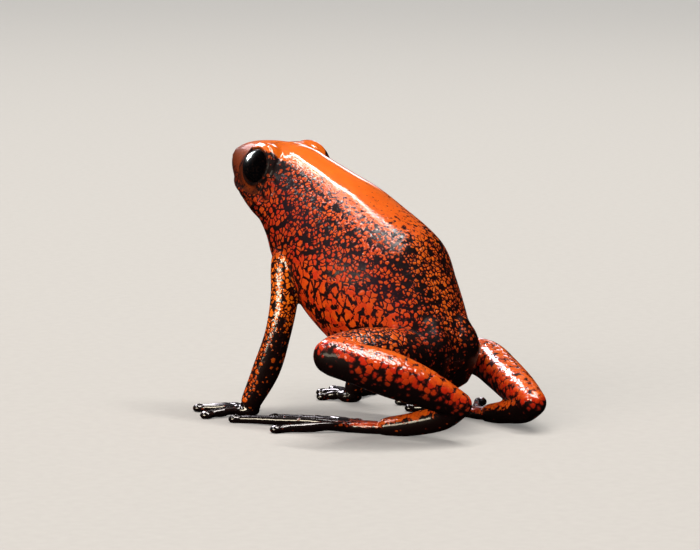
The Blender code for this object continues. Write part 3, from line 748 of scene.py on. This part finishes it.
def mark_face(points, values):
    """The dark chin, the orange brow, the brown skin before and under each eye, the dark skin
    behind it, and painted shade along its lids' edge and in the ear's crescent."""
    values["rim"] = np.zeros(len(points))
    chin = ramp(22.9, 22.4, points[:, 2]) * ramp(-28.2, -28.8, points[:, 1])
    blend(values, chin, {"cover": 0.5, "breadth": 0.6, "dark_tone_and_shade": 0.88, "wet": 0.15})
    for side in SIDES:
        eye = mirrored(EYE_CENTRE, side)
        reach = away(points, eye)
        arm = (points - np.array(eye)) / reach[:, None]
        near = ramp(3.6, 3.0, reach)
        outward = arm @ np.array(mirrored((0.85, 0.3, -0.43), side))
        before = ramp(-0.1, 0.4, arm @ np.array((0.0, -0.76, -0.65)))
        behind = ramp(0.2, 0.5, arm[:, 1]) * ramp(0.08, 0.2, outward)
        brow = ramp(0.0, 0.3, arm[:, 2]) * ramp(0.17, 0.05, outward) * ramp(-0.6, -0.2, arm[:, 1])
        blend(values, near * brow, {"cover": 0.995, "warmth": 0.9, "dark_tone_and_shade": 0.05, "breadth": 0.0,
                                    "painted_sheen": 0.0, "broken": 0.0, "wet": 0.9})
        blend(values, ramp(3.1, 2.8, reach) * before, {
            "cover": 0.8, "warmth": 0.6, "dark_tone_and_shade": 0.93, "breadth": 0.1, "raised": 0.1, "wet": 0.1})
        blend(values, near * behind, {"cover": 0.34, "breadth": 0.5, "dark_tone_and_shade": 0.6, "wet": 0.1,
                                      "broken": 0.6, "painted_sheen": 0.15})
        turn = np.arccos(np.clip(arm @ np.array(mirrored(GAZE, side)), -1, 1)) - EYE_OPENING
        lid = np.exp(-((turn - radians(8)) / radians(3)) ** 2) * (reach < LID_RADIUS + 0.3)
        blend(values, lid * ramp(0.2, 0.7, arm @ np.array((0.0, -0.85, -0.5))), {
            "dark_tone_and_shade": 0.75, "cover": 0.99})
        # Painted shade along the lids' edge, where it meets the eyeball
        edge = ramp(radians(5), radians(1), turn) * (reach < LID_RADIUS + 0.3)
        values["rim"] = np.maximum(values["rim"], edge)
        ear = on_side(side, EAR_STATION, EAR_ANGLE)
        reach = away(points, ear)
        arm = (points - np.array(ear)) / reach[:, None]
        blend(values, ramp(EAR_RADIUS + 0.2, EAR_RADIUS - 0.1, reach), {
            "cover": 0.86, "warmth": 0.2, "dark_tone_and_shade": 0.4, "breadth": 0.92, "raised": 0.1})
        # The ear's crescent: shade painted into the front and lower part of its groove
        crescent = 1.2 * np.exp(-((reach - EAR_RADIUS + 0.1) / 0.24) ** 2)
        crescent *= ramp(-0.1, 0.5, arm @ np.array((0.0, -0.9, -0.44)))
        values["rim"] = np.clip(np.maximum(values["rim"], crescent), 0, 1)


def mark_limbs(points, values, side):
    """Warm spotted arms that darken below the elbow, pebbled thighs, shanks orange above and
    dark below, feet orange on top, and black digits. The darkening under the thighs, shanks and
    feet is their own darker skin and painted shade as well."""
    share, gap, place = along_limb(points, ARMS[side])
    fore = place @ np.array(mirrored((0.75, -0.65, 0.0), side))
    lower = ramp(0.5, 0.62, share)
    blend(values, ramp(0.45, 0.1, gap) * ramp(0.16, 0.24, share), {
        "cover": 0.8 - lower * (0.62 - 0.5 * ramp(0.1, 0.8, fore)), "breadth": 0.5,
        "net": 0.07, "warmth": 1.0 - 0.4 * lower,
        "dark_tone_and_shade": lower * (0.55 - 0.4 * ramp(0.2, 0.9, fore)), "painted_sheen": 0.0,
        "wet": 1.0 - 0.75 * ramp(0.6, 0.75, share), "broken": 0.3 + 0.3 * lower,
        "raised": 0.5 + 0.5 * lower,
    })
    share, gap, place = along_limb(points, THIGHS[side])
    blend(values, ramp(0.35, 0.05, gap) * ramp(0.2, 0.45, share), {
        "cover": 0.42 + 0.42 * ramp(-0.5, 0.6, place[:, 2]), "breadth": 0.52, "net": 0.08,
        "warmth": 0.65, "dark_tone_and_shade": 0.4 * ramp(0.1, -0.7, place[:, 2]), "painted_sheen": 0.0,
        "wet": 1.0, "broken": 0.8, "raised": 1.4,
    })
    share, gap, place = along_limb(points, SHANKS[side])
    # The knee is dark up to a higher line than the rest. The shank's darkness underneath is its
    # own dark skin and painted shade as well
    height = place[:, 2] - 0.35 * ramp(0.36, 0.05, share)
    blend(values, ramp(0.35, 0.05, gap), {
        "cover": 0.06 + 0.86 * ramp(-0.8 - 0.3 * share, 0.6, height), "breadth": 0.66,
        "net": 0.1 - 0.15 * ramp(0.1, 0.8, height), "painted_sheen": 0.0,
        "warmth": 0.6 * ramp(0.2, 0.9, height), "dark_tone_and_shade": 0.8 * ramp(0.4, -0.6, height),
        "wet": 0.1 + 0.9 * ramp(0.05, 0.4, height), "broken": 0.15, "raised": 1.2, "soft": 0.9,
    })
    share, gap, place = along_limb(points, FEET[side])
    top = ramp(0.0, 0.6, place[:, 2])
    blend(values, ramp(0.35, 0.05, gap) * ramp(0.05, 0.2, share), {
        "cover": 0.02 + 0.94 * top, "breadth": 0.7 - 0.4 * top, "net": 0.04, "warmth": 0.5,
        "painted_sheen": 0.0, "dark_tone_and_shade": 0.6 - 0.5 * top, "wet": 0.1 + 0.9 * top, "broken": 0.2,
        "raised": 0.3, "soft": 0.85,
    })
    for tips, root in ((FINGER_TIPS[side], ARMS[side][-1]), (TOE_TIPS[side], FEET[side][-1])):
        for tip in tips:
            gap, above = nearest_on(points, [Vector((*root[:2], 0.5)), Vector((*tip, 0.4))])
            orange = ramp(0.0, 0.35, above) * ramp(5.5, 2.5, away(points, root[:3]))
            orange *= tips is TOE_TIPS[side]  # the fingers are black all over
            blend(values, ramp(1.0, 0.7, gap), {
                "cover": 0.02 + 0.9 * orange, "dark_tone_and_shade": 0.8 - 0.7 * orange, "net": 0.08,
                "breadth": 0.7 - 0.7 * orange, "soft": 0.85 * orange, "wet": 1.0,
                "broken": 0.1, "raised": 0.5})


def markings(points, mouth):
    """The value of each kind of marking, painted shade and painted sheen at each point of the
    skin.
    """
    station, turn = along_trunk(points)
    values = {name: from_table(table, station, turn) for name, table in TABLES.items()}
    values["soft"] = np.zeros(len(points))
    mark_face(points, values)
    for side in SIDES:
        mark_limbs(points, values, side)
    # A line of painted shade along the mouth
    line, _ = nearest_on(points, mouth)
    values["rim"] = np.maximum(values["rim"], ramp(0.22, 0.05, line))
    return values


def bell(share):
    """How many standard deviations hold the share, near enough for thresholds of a noise."""
    share = np.clip(share, 0.002, 0.998)
    return np.log(share / (1 - share)) / 1.7


# The colour attributes that carry the markings, the painted shade and the painted sheen to the
# material, four values in each
KEPT = {
    "marks": ("reach", "threshold", "net", "wet"),
    "kinds": ("breadth", "raised", "soft", "broken"),
    "tones": ("warmth", "dark_tone_and_shade", "painted_shade", "painted_sheen"),
}


def store_colours(mesh, name, channels):
    """Keeps four values a point on the mesh, for the material to read."""
    rows = np.zeros((len(mesh.vertices), 4), dtype=np.float32)
    for k, channel in enumerate(channels):
        rows[:, k] = channel
    mesh.attributes.new(name, "FLOAT_COLOR", "POINT").data.foreach_set("color", rows.ravel())


# Materials

def new_material(name):
    """A material with an empty node tree, and that tree."""
    look = bpy.data.materials.new(name)
    look.use_nodes = True
    look.node_tree.nodes.clear()
    return look, look.node_tree


def millimetres(tree):
    """Each point's place on its piece, in millimetres."""
    place = add(tree, "ShaderNodeTexCoord")["Object"]
    return add(tree, "ShaderNodeVectorMath", {0: place, "Scale": 1000.0}, operation="SCALE")[0]


def above(tree, value, level, scale):
    """How far a value is above a level, times a scale."""
    over = add(tree, "ShaderNodeMath", {0: value, 1: level}, operation="SUBTRACT")[0]
    return add(tree, "ShaderNodeMath", {0: over, 1: scale}, operation="MULTIPLY")[0]


def wet_frog_skin():
    """Living skin under a film of water: fine grains under a clear wet coat, so a light breaks up
    into sparks round its highlight. Orange lies in raised spots, flecks and blotches on
    near-black, with a painted bluish sheen of reflected sky in places, and painted shade in its
    hollows and folds."""
    look, tree = new_material("wet_frog_skin")
    in_mm = millimetres(tree)
    kept = {}
    for name, channels in KEPT.items():
        colours = add(tree, "ShaderNodeAttribute", attribute_name=name)
        parts = add(tree, "ShaderNodeSeparateColor", {0: colours["Color"]})
        kept.update(zip(channels, (parts[0], parts[1], parts[2], colours["Alpha"])))
    # The spots' outlines wander by up to a tenth of a millimetre
    wander = add(tree, "ShaderNodeTexNoise", {"Vector": in_mm, "Scale": SPOT_WANDER,
                                              "Detail": 2.0})["Color"]
    centred = add(tree, "ShaderNodeVectorMath", {0: wander, 1: (0.5, 0.5, 0.5)},
                  operation="SUBTRACT")[0]
    small = add(tree, "ShaderNodeVectorMath", {0: centred, "Scale": 0.5}, operation="SCALE")[0]
    spot_place = add(tree, "ShaderNodeVectorMath", {0: in_mm, 1: small}, operation="ADD")[0]
    # Every pattern is a height in millimetres, above 0 inside the orange. Specks come first
    speckle = add(tree, "ShaderNodeTexNoise", {"Vector": in_mm, "Scale": SPECKS, "Detail": 4.0,
                                               "Roughness": 0.62})[0]
    height = above(tree, speckle, kept["threshold"], 0.8)
    tint = add(tree, "ShaderNodeTexNoise", {"Vector": in_mm, "Scale": TINTS, "Detail": 1.0})[0]
    patch = add(tree, "ShaderNodeTexNoise", {"Vector": in_mm, "Scale": PATCHES, "Detail": 3.0})[0]
    # Which pattern shows changes over along a broken border
    choice = add(tree, "ShaderNodeMath", {0: patch, 1: 0.5, 2: kept["breadth"]},
                 operation="MULTIPLY_ADD")[0]
    choice = add(tree, "ShaderNodeMath", {0: choice, 1: 0.25}, operation="SUBTRACT")[0]
    # Blurred spots are round and run together
    joined = add(tree, "ShaderNodeMath", {0: kept["soft"], 1: -0.3, 2: kept["net"]},
                 operation="MULTIPLY_ADD")[0]
    for size, low in ((SMALL_SPOT, 0.17), (ROUND_SPOT, 0.5)):
        spot = add(tree, "ShaderNodeTexVoronoi", {"Vector": spot_place, "Scale": 1 / size})
        edge = add(tree, "ShaderNodeTexVoronoi", {"Vector": spot_place, "Scale": 1 / size},
                   feature="DISTANCE_TO_EDGE")[0]
        own = add(tree, "ShaderNodeSeparateColor", {0: spot["Color"]})[0]
        grown = add(tree, "ShaderNodeMath", {0: own, 1: 0.3, 2: kept["reach"]},
                    operation="MULTIPLY_ADD")[0]
        grown = add(tree, "ShaderNodeMath", {0: grown, 1: 0.15}, operation="SUBTRACT")[0]
        inside = add(tree, "ShaderNodeMath", {0: grown, 1: spot["Distance"]},
                     operation="SUBTRACT")[0]
        apart = add(tree, "ShaderNodeMath", {0: edge, 1: joined}, operation="SUBTRACT")[0]
        lower = add(tree, "ShaderNodeMath", {0: inside, 1: apart, 2: 0.06},
                    operation="SMOOTH_MIN")[0]
        in_spot = add(tree, "ShaderNodeMath", {0: lower, 1: size}, operation="MULTIPLY")[0]
        share = add(tree, "ShaderNodeMapRange", {0: choice, 1: low, 2: low + 0.06},
                    interpolation_type="SMOOTHSTEP")[0]
        height = add(tree, "ShaderNodeMix", {"Factor": share, 2: height, 3: in_spot})[0]
        tint = add(tree, "ShaderNodeMix", {"Factor": share, 2: tint, 3: own})[0]
    # The blotches low on the flanks stand upright, with cracks between them that open and close
    tall = add(tree, "ShaderNodeVectorMath", {0: spot_place, 1: (1.0, 1.0, 0.6)},
               operation="MULTIPLY")[0]
    blotch = add(tree, "ShaderNodeTexNoise", {"Vector": tall, "Scale": BLOTCHES, "Detail": 4.0,
                                              "Roughness": 0.62, "Distortion": 0.3})[0]
    in_blotch = above(tree, blotch, kept["threshold"], 1.2)
    crack = add(tree, "ShaderNodeTexVoronoi", {"Vector": tall, "Scale": 1 / CRACKED_PATCH},
                feature="DISTANCE_TO_EDGE")[0]
    gape = add(tree, "ShaderNodeMapRange", {0: tint, 1: 0.25, 2: 0.75, 3: -0.04, 4: 0.12})[0]
    between = above(tree, crack, gape, 0.8)
    in_blotch = add(tree, "ShaderNodeMath", {0: in_blotch, 1: between, 2: 0.05},
                    operation="SMOOTH_MIN")[0]
    share = add(tree, "ShaderNodeMapRange", {0: choice, 1: 0.82, 2: 0.88},
                interpolation_type="SMOOTHSTEP")[0]
    height = add(tree, "ShaderNodeMix", {"Factor": share, 2: height, 3: in_blotch})[0]
    # A blurred spot's edge is up to four times as wide
    keen = add(tree, "ShaderNodeMath", {0: kept["soft"], 1: -0.75, 2: 1.0},
               operation="MULTIPLY_ADD")[0]
    height = add(tree, "ShaderNodeMath", {0: height, 1: keen}, operation="MULTIPLY")[0]
    # Near-black, then a thin dark red border, then orange
    into = add(tree, "ShaderNodeMapRange", {0: height, 1: -0.015, 2: 0.045})[0]
    warm = add(tree, "ShaderNodeMath", {0: tint, 1: 0.4, 2: -0.2}, operation="MULTIPLY_ADD")[0]
    warm = add(tree, "ShaderNodeMath", {0: kept["warmth"], 1: warm}, operation="ADD",
               use_clamp=True)[0]
    orange = add(tree, "ShaderNodeMix", {"Factor": warm, 6: linear(RED_ORANGE),
                                         7: linear(YELLOW_ORANGE)}, data_type="RGBA")[2]
    # Painted sheen: where reflected sky light is painted in, the orange turns pinker and the black
    # bluish
    sheen_on_orange = add(tree, "ShaderNodeMath", {0: kept["painted_sheen"], 1: 0.4}, operation="MULTIPLY")[0]
    orange = add(tree, "ShaderNodeMix", {"Factor": sheen_on_orange, 6: orange, 7: linear(ORANGE_WITH_PAINTED_SHEEN)},
                 data_type="RGBA")[2]
    black = add(tree, "ShaderNodeMix", {"Factor": kept["painted_sheen"], 6: linear(NEAR_BLACK),
                                        7: linear(BLACK_WITH_PAINTED_SHEEN)}, data_type="RGBA")[2]
    border = add(tree, "ShaderNodeMapRange", {0: into, 1: 0.0, 2: 0.5},
                 interpolation_type="SMOOTHSTEP")[0]
    skin = add(tree, "ShaderNodeMix", {"Factor": border, 6: black, 7: linear(DARK_RED_EDGE)},
               data_type="RGBA")[2]
    filled = add(tree, "ShaderNodeMapRange", {0: into, 1: 0.4, 2: 1.0},
                 interpolation_type="SMOOTHSTEP")[0]
    skin = add(tree, "ShaderNodeMix", {"Factor": filled, 6: skin, 7: orange},
               data_type="RGBA")[2]
    colour = skin
    # Darkened by the skin's own dark tone, then by painted shade
    for darker in ("dark_tone_and_shade", "painted_shade"):
        colour = add(tree, "ShaderNodeMix", {"Factor": kept[darker], 6: colour,
                                             7: linear(DARK_BROWN_AND_SHADE)}, data_type="RGBA")[2]
    # Grains with finer ones between them, on the spots' low domes
    grain = add(tree, "ShaderNodeTexVoronoi", {"Vector": spot_place, "Scale": 1 / GRAIN,
                                               "Smoothness": 0.5}, feature="SMOOTH_F1")[0]
    fine = add(tree, "ShaderNodeTexNoise", {"Vector": in_mm, "Scale": GRIT, "Detail": 2.0})[0]
    grit = add(tree, "ShaderNodeMath", {0: fine, 1: grain}, operation="SUBTRACT")[0]
    rough = add(tree, "ShaderNodeMapRange", {0: kept["broken"], 3: 0.02, 4: 0.4})[0]
    grit = add(tree, "ShaderNodeMath", {0: grit, 1: rough}, operation="MULTIPLY")[0]
    dome = add(tree, "ShaderNodeMapRange", {0: height, 1: -0.04, 2: 0.16},
               interpolation_type="SMOOTHSTEP")[0]
    bumps = add(tree, "ShaderNodeMath", {0: dome, 1: kept["raised"], 2: grit},
                operation="MULTIPLY_ADD")[0]
    relief = add(tree, "ShaderNodeBump", {"Strength": 1.0, "Distance": RELIEF,
                                          "Height": bumps})[0]
    # Where grains break the water, it shines only in beads
    bead = add(tree, "ShaderNodeMapRange", {0: fine, 1: 0.56, 2: 0.62, 3: 1.0, 4: 0.0})[0]
    gone = add(tree, "ShaderNodeMath", {0: bead, 1: kept["broken"]}, operation="MULTIPLY")[0]
    left = add(tree, "ShaderNodeMath", {0: 1.0, 1: gone}, operation="SUBTRACT")[0]
    film = add(tree, "ShaderNodeMath", {0: left, 1: kept["wet"]}, operation="MULTIPLY")[0]
    # No wet film where shade is painted
    outside_painted_shade = add(tree, "ShaderNodeMath", {0: 1.0, 1: kept["painted_shade"]}, operation="SUBTRACT")[0]
    film = add(tree, "ShaderNodeMath", {0: film, 1: outside_painted_shade}, operation="MULTIPLY")[0]
    matt = add(tree, "ShaderNodeMapRange", {0: fine, 1: 0.3, 2: 0.7, 3: 0.45, 4: 0.6})[0]
    shader = add(tree, "ShaderNodeBsdfPrincipled", {
        "Base Color": colour, "Roughness": matt, "IOR": 1.4, "Specular IOR Level": 0.04,
        "Normal": relief, "Coat Weight": film, "Coat Roughness": 0.07, "Coat IOR": 1.45,
        "Coat Normal": relief,
    })[0]
    add(tree, "ShaderNodeOutputMaterial", {"Surface": shader})
    return look


def dark_eye():
    """A frog's dark eye under its clear wet cornea: nearly black, with a brown gleam in the
    iris, in flecks of a fifth of a millimetre."""
    look, tree = new_material("dark_wet_eye")
    fleck = add(tree, "ShaderNodeTexNoise", {"Vector": millimetres(tree), "Scale": 5.0,
                                             "Detail": 4.0})[0]
    share = add(tree, "ShaderNodeMapRange", {0: fleck, 1: 0.5, 2: 0.8})[0]
    colour = add(tree, "ShaderNodeMix", {"Factor": share, 6: linear("#030304"),
                                         7: linear("#1c100c")}, data_type="RGBA")[2]
    shader = add(tree, "ShaderNodeBsdfPrincipled", {
        "Base Color": colour, "Roughness": 0.3, "IOR": 1.34, "Specular IOR Level": 0.1,
        "Coat Weight": 1.0, "Coat Roughness": 0.03, "Coat IOR": 1.36,
    })[0]
    add(tree, "ShaderNodeOutputMaterial", {"Surface": shader})
    return look


def matt_paper():
    """Matt white background paper: no gloss, and a faint tooth of about a millimetre."""
    look, tree = new_material("matt_background_paper")
    place = add(tree, "ShaderNodeTexCoord")["Object"]
    tooth = add(tree, "ShaderNodeTexNoise", {"Vector": place, "Scale": 900.0})[0]
    colour = add(tree, "ShaderNodeMix", {"Factor": tooth, 6: linear("#a2a09c"),
                                         7: linear("#a9a7a3")}, data_type="RGBA")[2]
    shader = add(tree, "ShaderNodeBsdfPrincipled", {
        "Base Color": colour, "Roughness": 0.9, "Specular IOR Level": 0.1})[0]
    add(tree, "ShaderNodeOutputMaterial", {"Surface": shader})
    return look


# Pieces

def placed(name, mesh, look):
    """An object of the mesh, moved from the frog's own measure onto the frame."""
    mesh.transform(Matrix.Scale(0.001, 4) @ Matrix.Translation(SHIFT))
    mesh.shade_smooth()
    mesh.materials.append(look)
    return shown(name, mesh)


def thinned(mesh, faces):
    """The mesh with fewer triangles, most of them kept where it bends."""
    item = shown("net", mesh)
    fewer = item.modifiers.new("fewer", "DECIMATE")
    fewer.ratio = faces / (2 * len(mesh.polygons))
    return worked_out(item)


def make_skin():
    mouth = mouth_path()
    skin = Skin(flesh(mouth))
    skin.relax(10)
    shape_lids(skin)
    shape_face(skin, mouth)
    skin.points[:, 2] = np.maximum(skin.points[:, 2], 0.0)
    skin.store()
    skin = Skin(thinned(skin.mesh, SKIN_FACES))
    values = markings(skin.points, mouth)
    # Of points strewn at random, the share covered lies within this reach of the nearest seed
    unit_ball = 4.19  # the volume of a ball whose radius is 1
    seeds = -np.log(1 - np.clip(values["cover"], 0, 0.999))
    values["reach"] = (seeds / unit_ball) ** (1 / 3) - 0.035
    noise_middle, noise_spread = 0.5, 0.12
    values["threshold"] = noise_middle - noise_spread * bell(values["cover"])
    # Painted shade: darker skin without its wet film in hollows, along the lids' edge and the
    # mouth line, and in the ear's crescent
    values["painted_shade"] = 0.9 * np.maximum(ramp(0.8, 2.0, skin.hollow()), values["rim"])
    for name, channels in KEPT.items():
        store_colours(skin.mesh, name, [values[channel] for channel in channels])
    skin.mesh.name = "skin"
    piece = placed("skin", skin.mesh, wet_frog_skin())
    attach(piece, "root")
    flesh_nodes = [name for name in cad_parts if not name.startswith("eye")]
    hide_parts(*flesh_nodes)


def make_eye(side, look):
    """An eyeball with the cornea's bulge in the middle of its gaze."""
    bm = bmesh.new()
    ball(bm, Vector((0, 0, 0)), (EYE_RADIUS,) * 3, 96)
    gaze = mirrored(GAZE, side)
    for vertex in bm.verts:
        turn = vertex.co.angle(gaze)
        vertex.co *= 1 + CORNEA_BULGE * float(ramp(radians(52), radians(20), np.float64(turn)))
        vertex.co += mirrored(EYE_CENTRE, side)
    bmesh.ops.recalc_face_normals(bm, faces=bm.faces)
    name = "eyeball_" + side
    piece = placed(name, mesh_of(bm, name), look)
    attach(piece, "root")
    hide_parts("eye_" + side)


def make_floor():
    """A sheet of paper that lies flat under the frog and sweeps up all round, far behind it."""
    rings = []
    for k in range(SWEEP_STEPS + 1):
        turn = k / SWEEP_STEPS * pi / 2
        rings.append((FLOOR_FLAT + FLOOR_SWEEP * sin(turn), FLOOR_SWEEP * (1 - cos(turn))))
    bm = bmesh.new()
    rows = [
        [bm.verts.new((far * cos(2 * pi * k / FLOOR_SIDES), far * sin(2 * pi * k / FLOOR_SIDES),
                       height)) for k in range(FLOOR_SIDES)]
        for far, height in rings
    ]
    bm.faces.new(rows[0])
    for low, high in zip(rows, rows[1:]):
        for k in range(FLOOR_SIDES):
            n = (k + 1) % FLOOR_SIDES
            bm.faces.new((low[k], high[k], high[n], low[n]))
    mesh = mesh_of(bm, "floor")
    mesh.shade_smooth()
    mesh.materials.append(matt_paper())
    floor = shown("floor", mesh)
    floor.visible_glossy = False  # so the wet black skin stays black


# Camera and light

def make_camera():
    """The photograph's view: the point aimed at stands at its own pixel of the frame."""
    back = Vector((sin(CAMERA_AZIMUTH) * cos(CAMERA_HEIGHT),
                   -cos(CAMERA_AZIMUTH) * cos(CAMERA_HEIGHT), sin(CAMERA_HEIGHT)))
    level = Vector((cos(CAMERA_AZIMUTH), sin(CAMERA_AZIMUTH), 0.0))
    upright = back.cross(level)
    right = level * cos(CAMERA_ROLL) + upright * sin(CAMERA_ROLL)
    up = upright * cos(CAMERA_ROLL) - level * sin(CAMERA_ROLL)
    data = bpy.data.cameras.new("camera")
    data.sensor_width = 36.0
    data.lens = data.sensor_width * CAMERA_DISTANCE * PIXELS_PER_MM / FRAME_WIDTH
    data.shift_x = (FRAME_WIDTH / 2 - AIM_PIXEL[0]) / FRAME_WIDTH
    data.shift_y = (AIM_PIXEL[1] - FRAME_HEIGHT / 2) / FRAME_WIDTH
    data.clip_start = 0.01
    camera = shown("camera", data)
    turn = Matrix((right, up, back)).transposed().to_4x4()
    camera.matrix_world = Matrix.Translation(on_frame(CAMERA_AIM + back * CAMERA_DISTANCE)) @ turn
    bpy.context.scene.camera = camera


def softbox(name, towards, distance, along, size, strength, colour, only=(), gloss=True,
            body=True):
    """A rectangular soft light, which stands off in one direction and faces the frog. Its second
    size lies along the direction given. It lights only the named pieces where there are any, and
    they alone stand in its way. It can be left out of the gloss, or of the body colour."""
    data = bpy.data.lights.new(name, "AREA")
    data.shape = "RECTANGLE"
    data.size, data.size_y = size
    data.energy = strength * pi * size[0] * size[1]
    data.color = linear(colour)[:3]
    lamp = shown(name, data)
    lamp.visible_glossy = gloss
    lamp.visible_diffuse = body
    towards = Vector(towards).normalized()
    across = Vector(along).cross(towards).normalized()
    turned = Matrix((across, towards.cross(across), towards)).transposed()
    lamp.matrix_world = (Matrix.Translation(on_frame(CAMERA_AIM) + towards * distance)
                         @ turned.to_4x4())
    if only:
        lit = bpy.data.collections.new("lit_by_" + name)
        for piece in only:
            lit.objects.link(bpy.data.objects[piece])
        lamp.light_linking.receiver_collection = lit
        lamp.light_linking.blocker_collection = lit


def make_light():
    """Long panels overhead, soft fill, and panels which show only as glints in the water."""
    rest = ("skin", "floor")
    skin = ("skin",)
    eyes = ("eyeball_left", "eyeball_right")
    upright = (0, 0, 1)
    softbox("overhead", (-0.38, -0.05, 0.92), 1.2, (-0.1, 1.0, 0), (0.1, 0.76), 38.0, "#fffaf4",
            only=rest)
    softbox("overhead_front", (-0.08, -0.31, 0.95), 1.2, (1, -0.1, 0), (0.06, 0.46), 36.0,
            "#fffaf4", only=rest)
    softbox("soft_top", (0.3, 0.0, 0.95), 1.2, upright, (0.8, 0.8), 3.5, "#fff8f2", only=rest,
            gloss=False)
    softbox("fill", (0.85, 0.1, 0.25), 0.8, upright, (0.7, 0.7), 4.6, "#fff2e8", gloss=False)
    softbox("glint_rear", (0.03, 0.3, 0.95), 1.2, (-0.35, 1.0, 0), (0.5, 1.1), 30.0, "#fff6f0",
            only=skin, body=False)
    softbox("glint_left", (0.48, -0.48, 0.73), 1.2, (0, -0.7, 0.7), (0.24, 0.56), 20.0, "#fff8f4",
            only=skin, body=False)
    softbox("glint_brow", (-0.22, -0.74, 0.63), 0.6, (0.6, 0.38, 0.68), (0.14, 0.4), 24.0,
            "#fff6ff", only=skin, body=False)
    softbox("glint_far", (-0.77, -0.58, 0.26), 0.6, upright, (0.08, 0.1), 6.0, "#fff0fa",
            only=skin, body=False)
    softbox("glint_arm", (0.9, -0.12, 0.28), 0.45, (0, 0.9, 0.42), (0.1, 0.36), 40.0, "#fff0d4",
            only=skin, body=False)
    softbox("catchlight", (0.05, -0.84, 0.54), 0.6, (1, 0.06, 0), (0.26, 0.42), 30.0, "#f8ffff",
            only=eyes)
    softbox("backdrop", (-0.72, -0.66, 0.55), 3.0, upright, (4.0, 2.2), 3.4, "#ffffff",
            only=("floor",))
    world = bpy.data.worlds.new("studio")
    bpy.context.scene.world = world
    world.use_nodes = True
    background = world.node_tree.nodes["Background"]
    background.inputs["Color"].default_value = linear("#d4d8e4")
    background.inputs["Strength"].default_value = 0.2
    world.cycles_visibility.glossy = False
    bpy.context.scene.view_settings.view_transform = "Standard"


def main():
    make_camera()
    make_skin()
    look = dark_eye()
    for side in SIDES:
        make_eye(side, look)
    make_floor()
    make_light()


main()
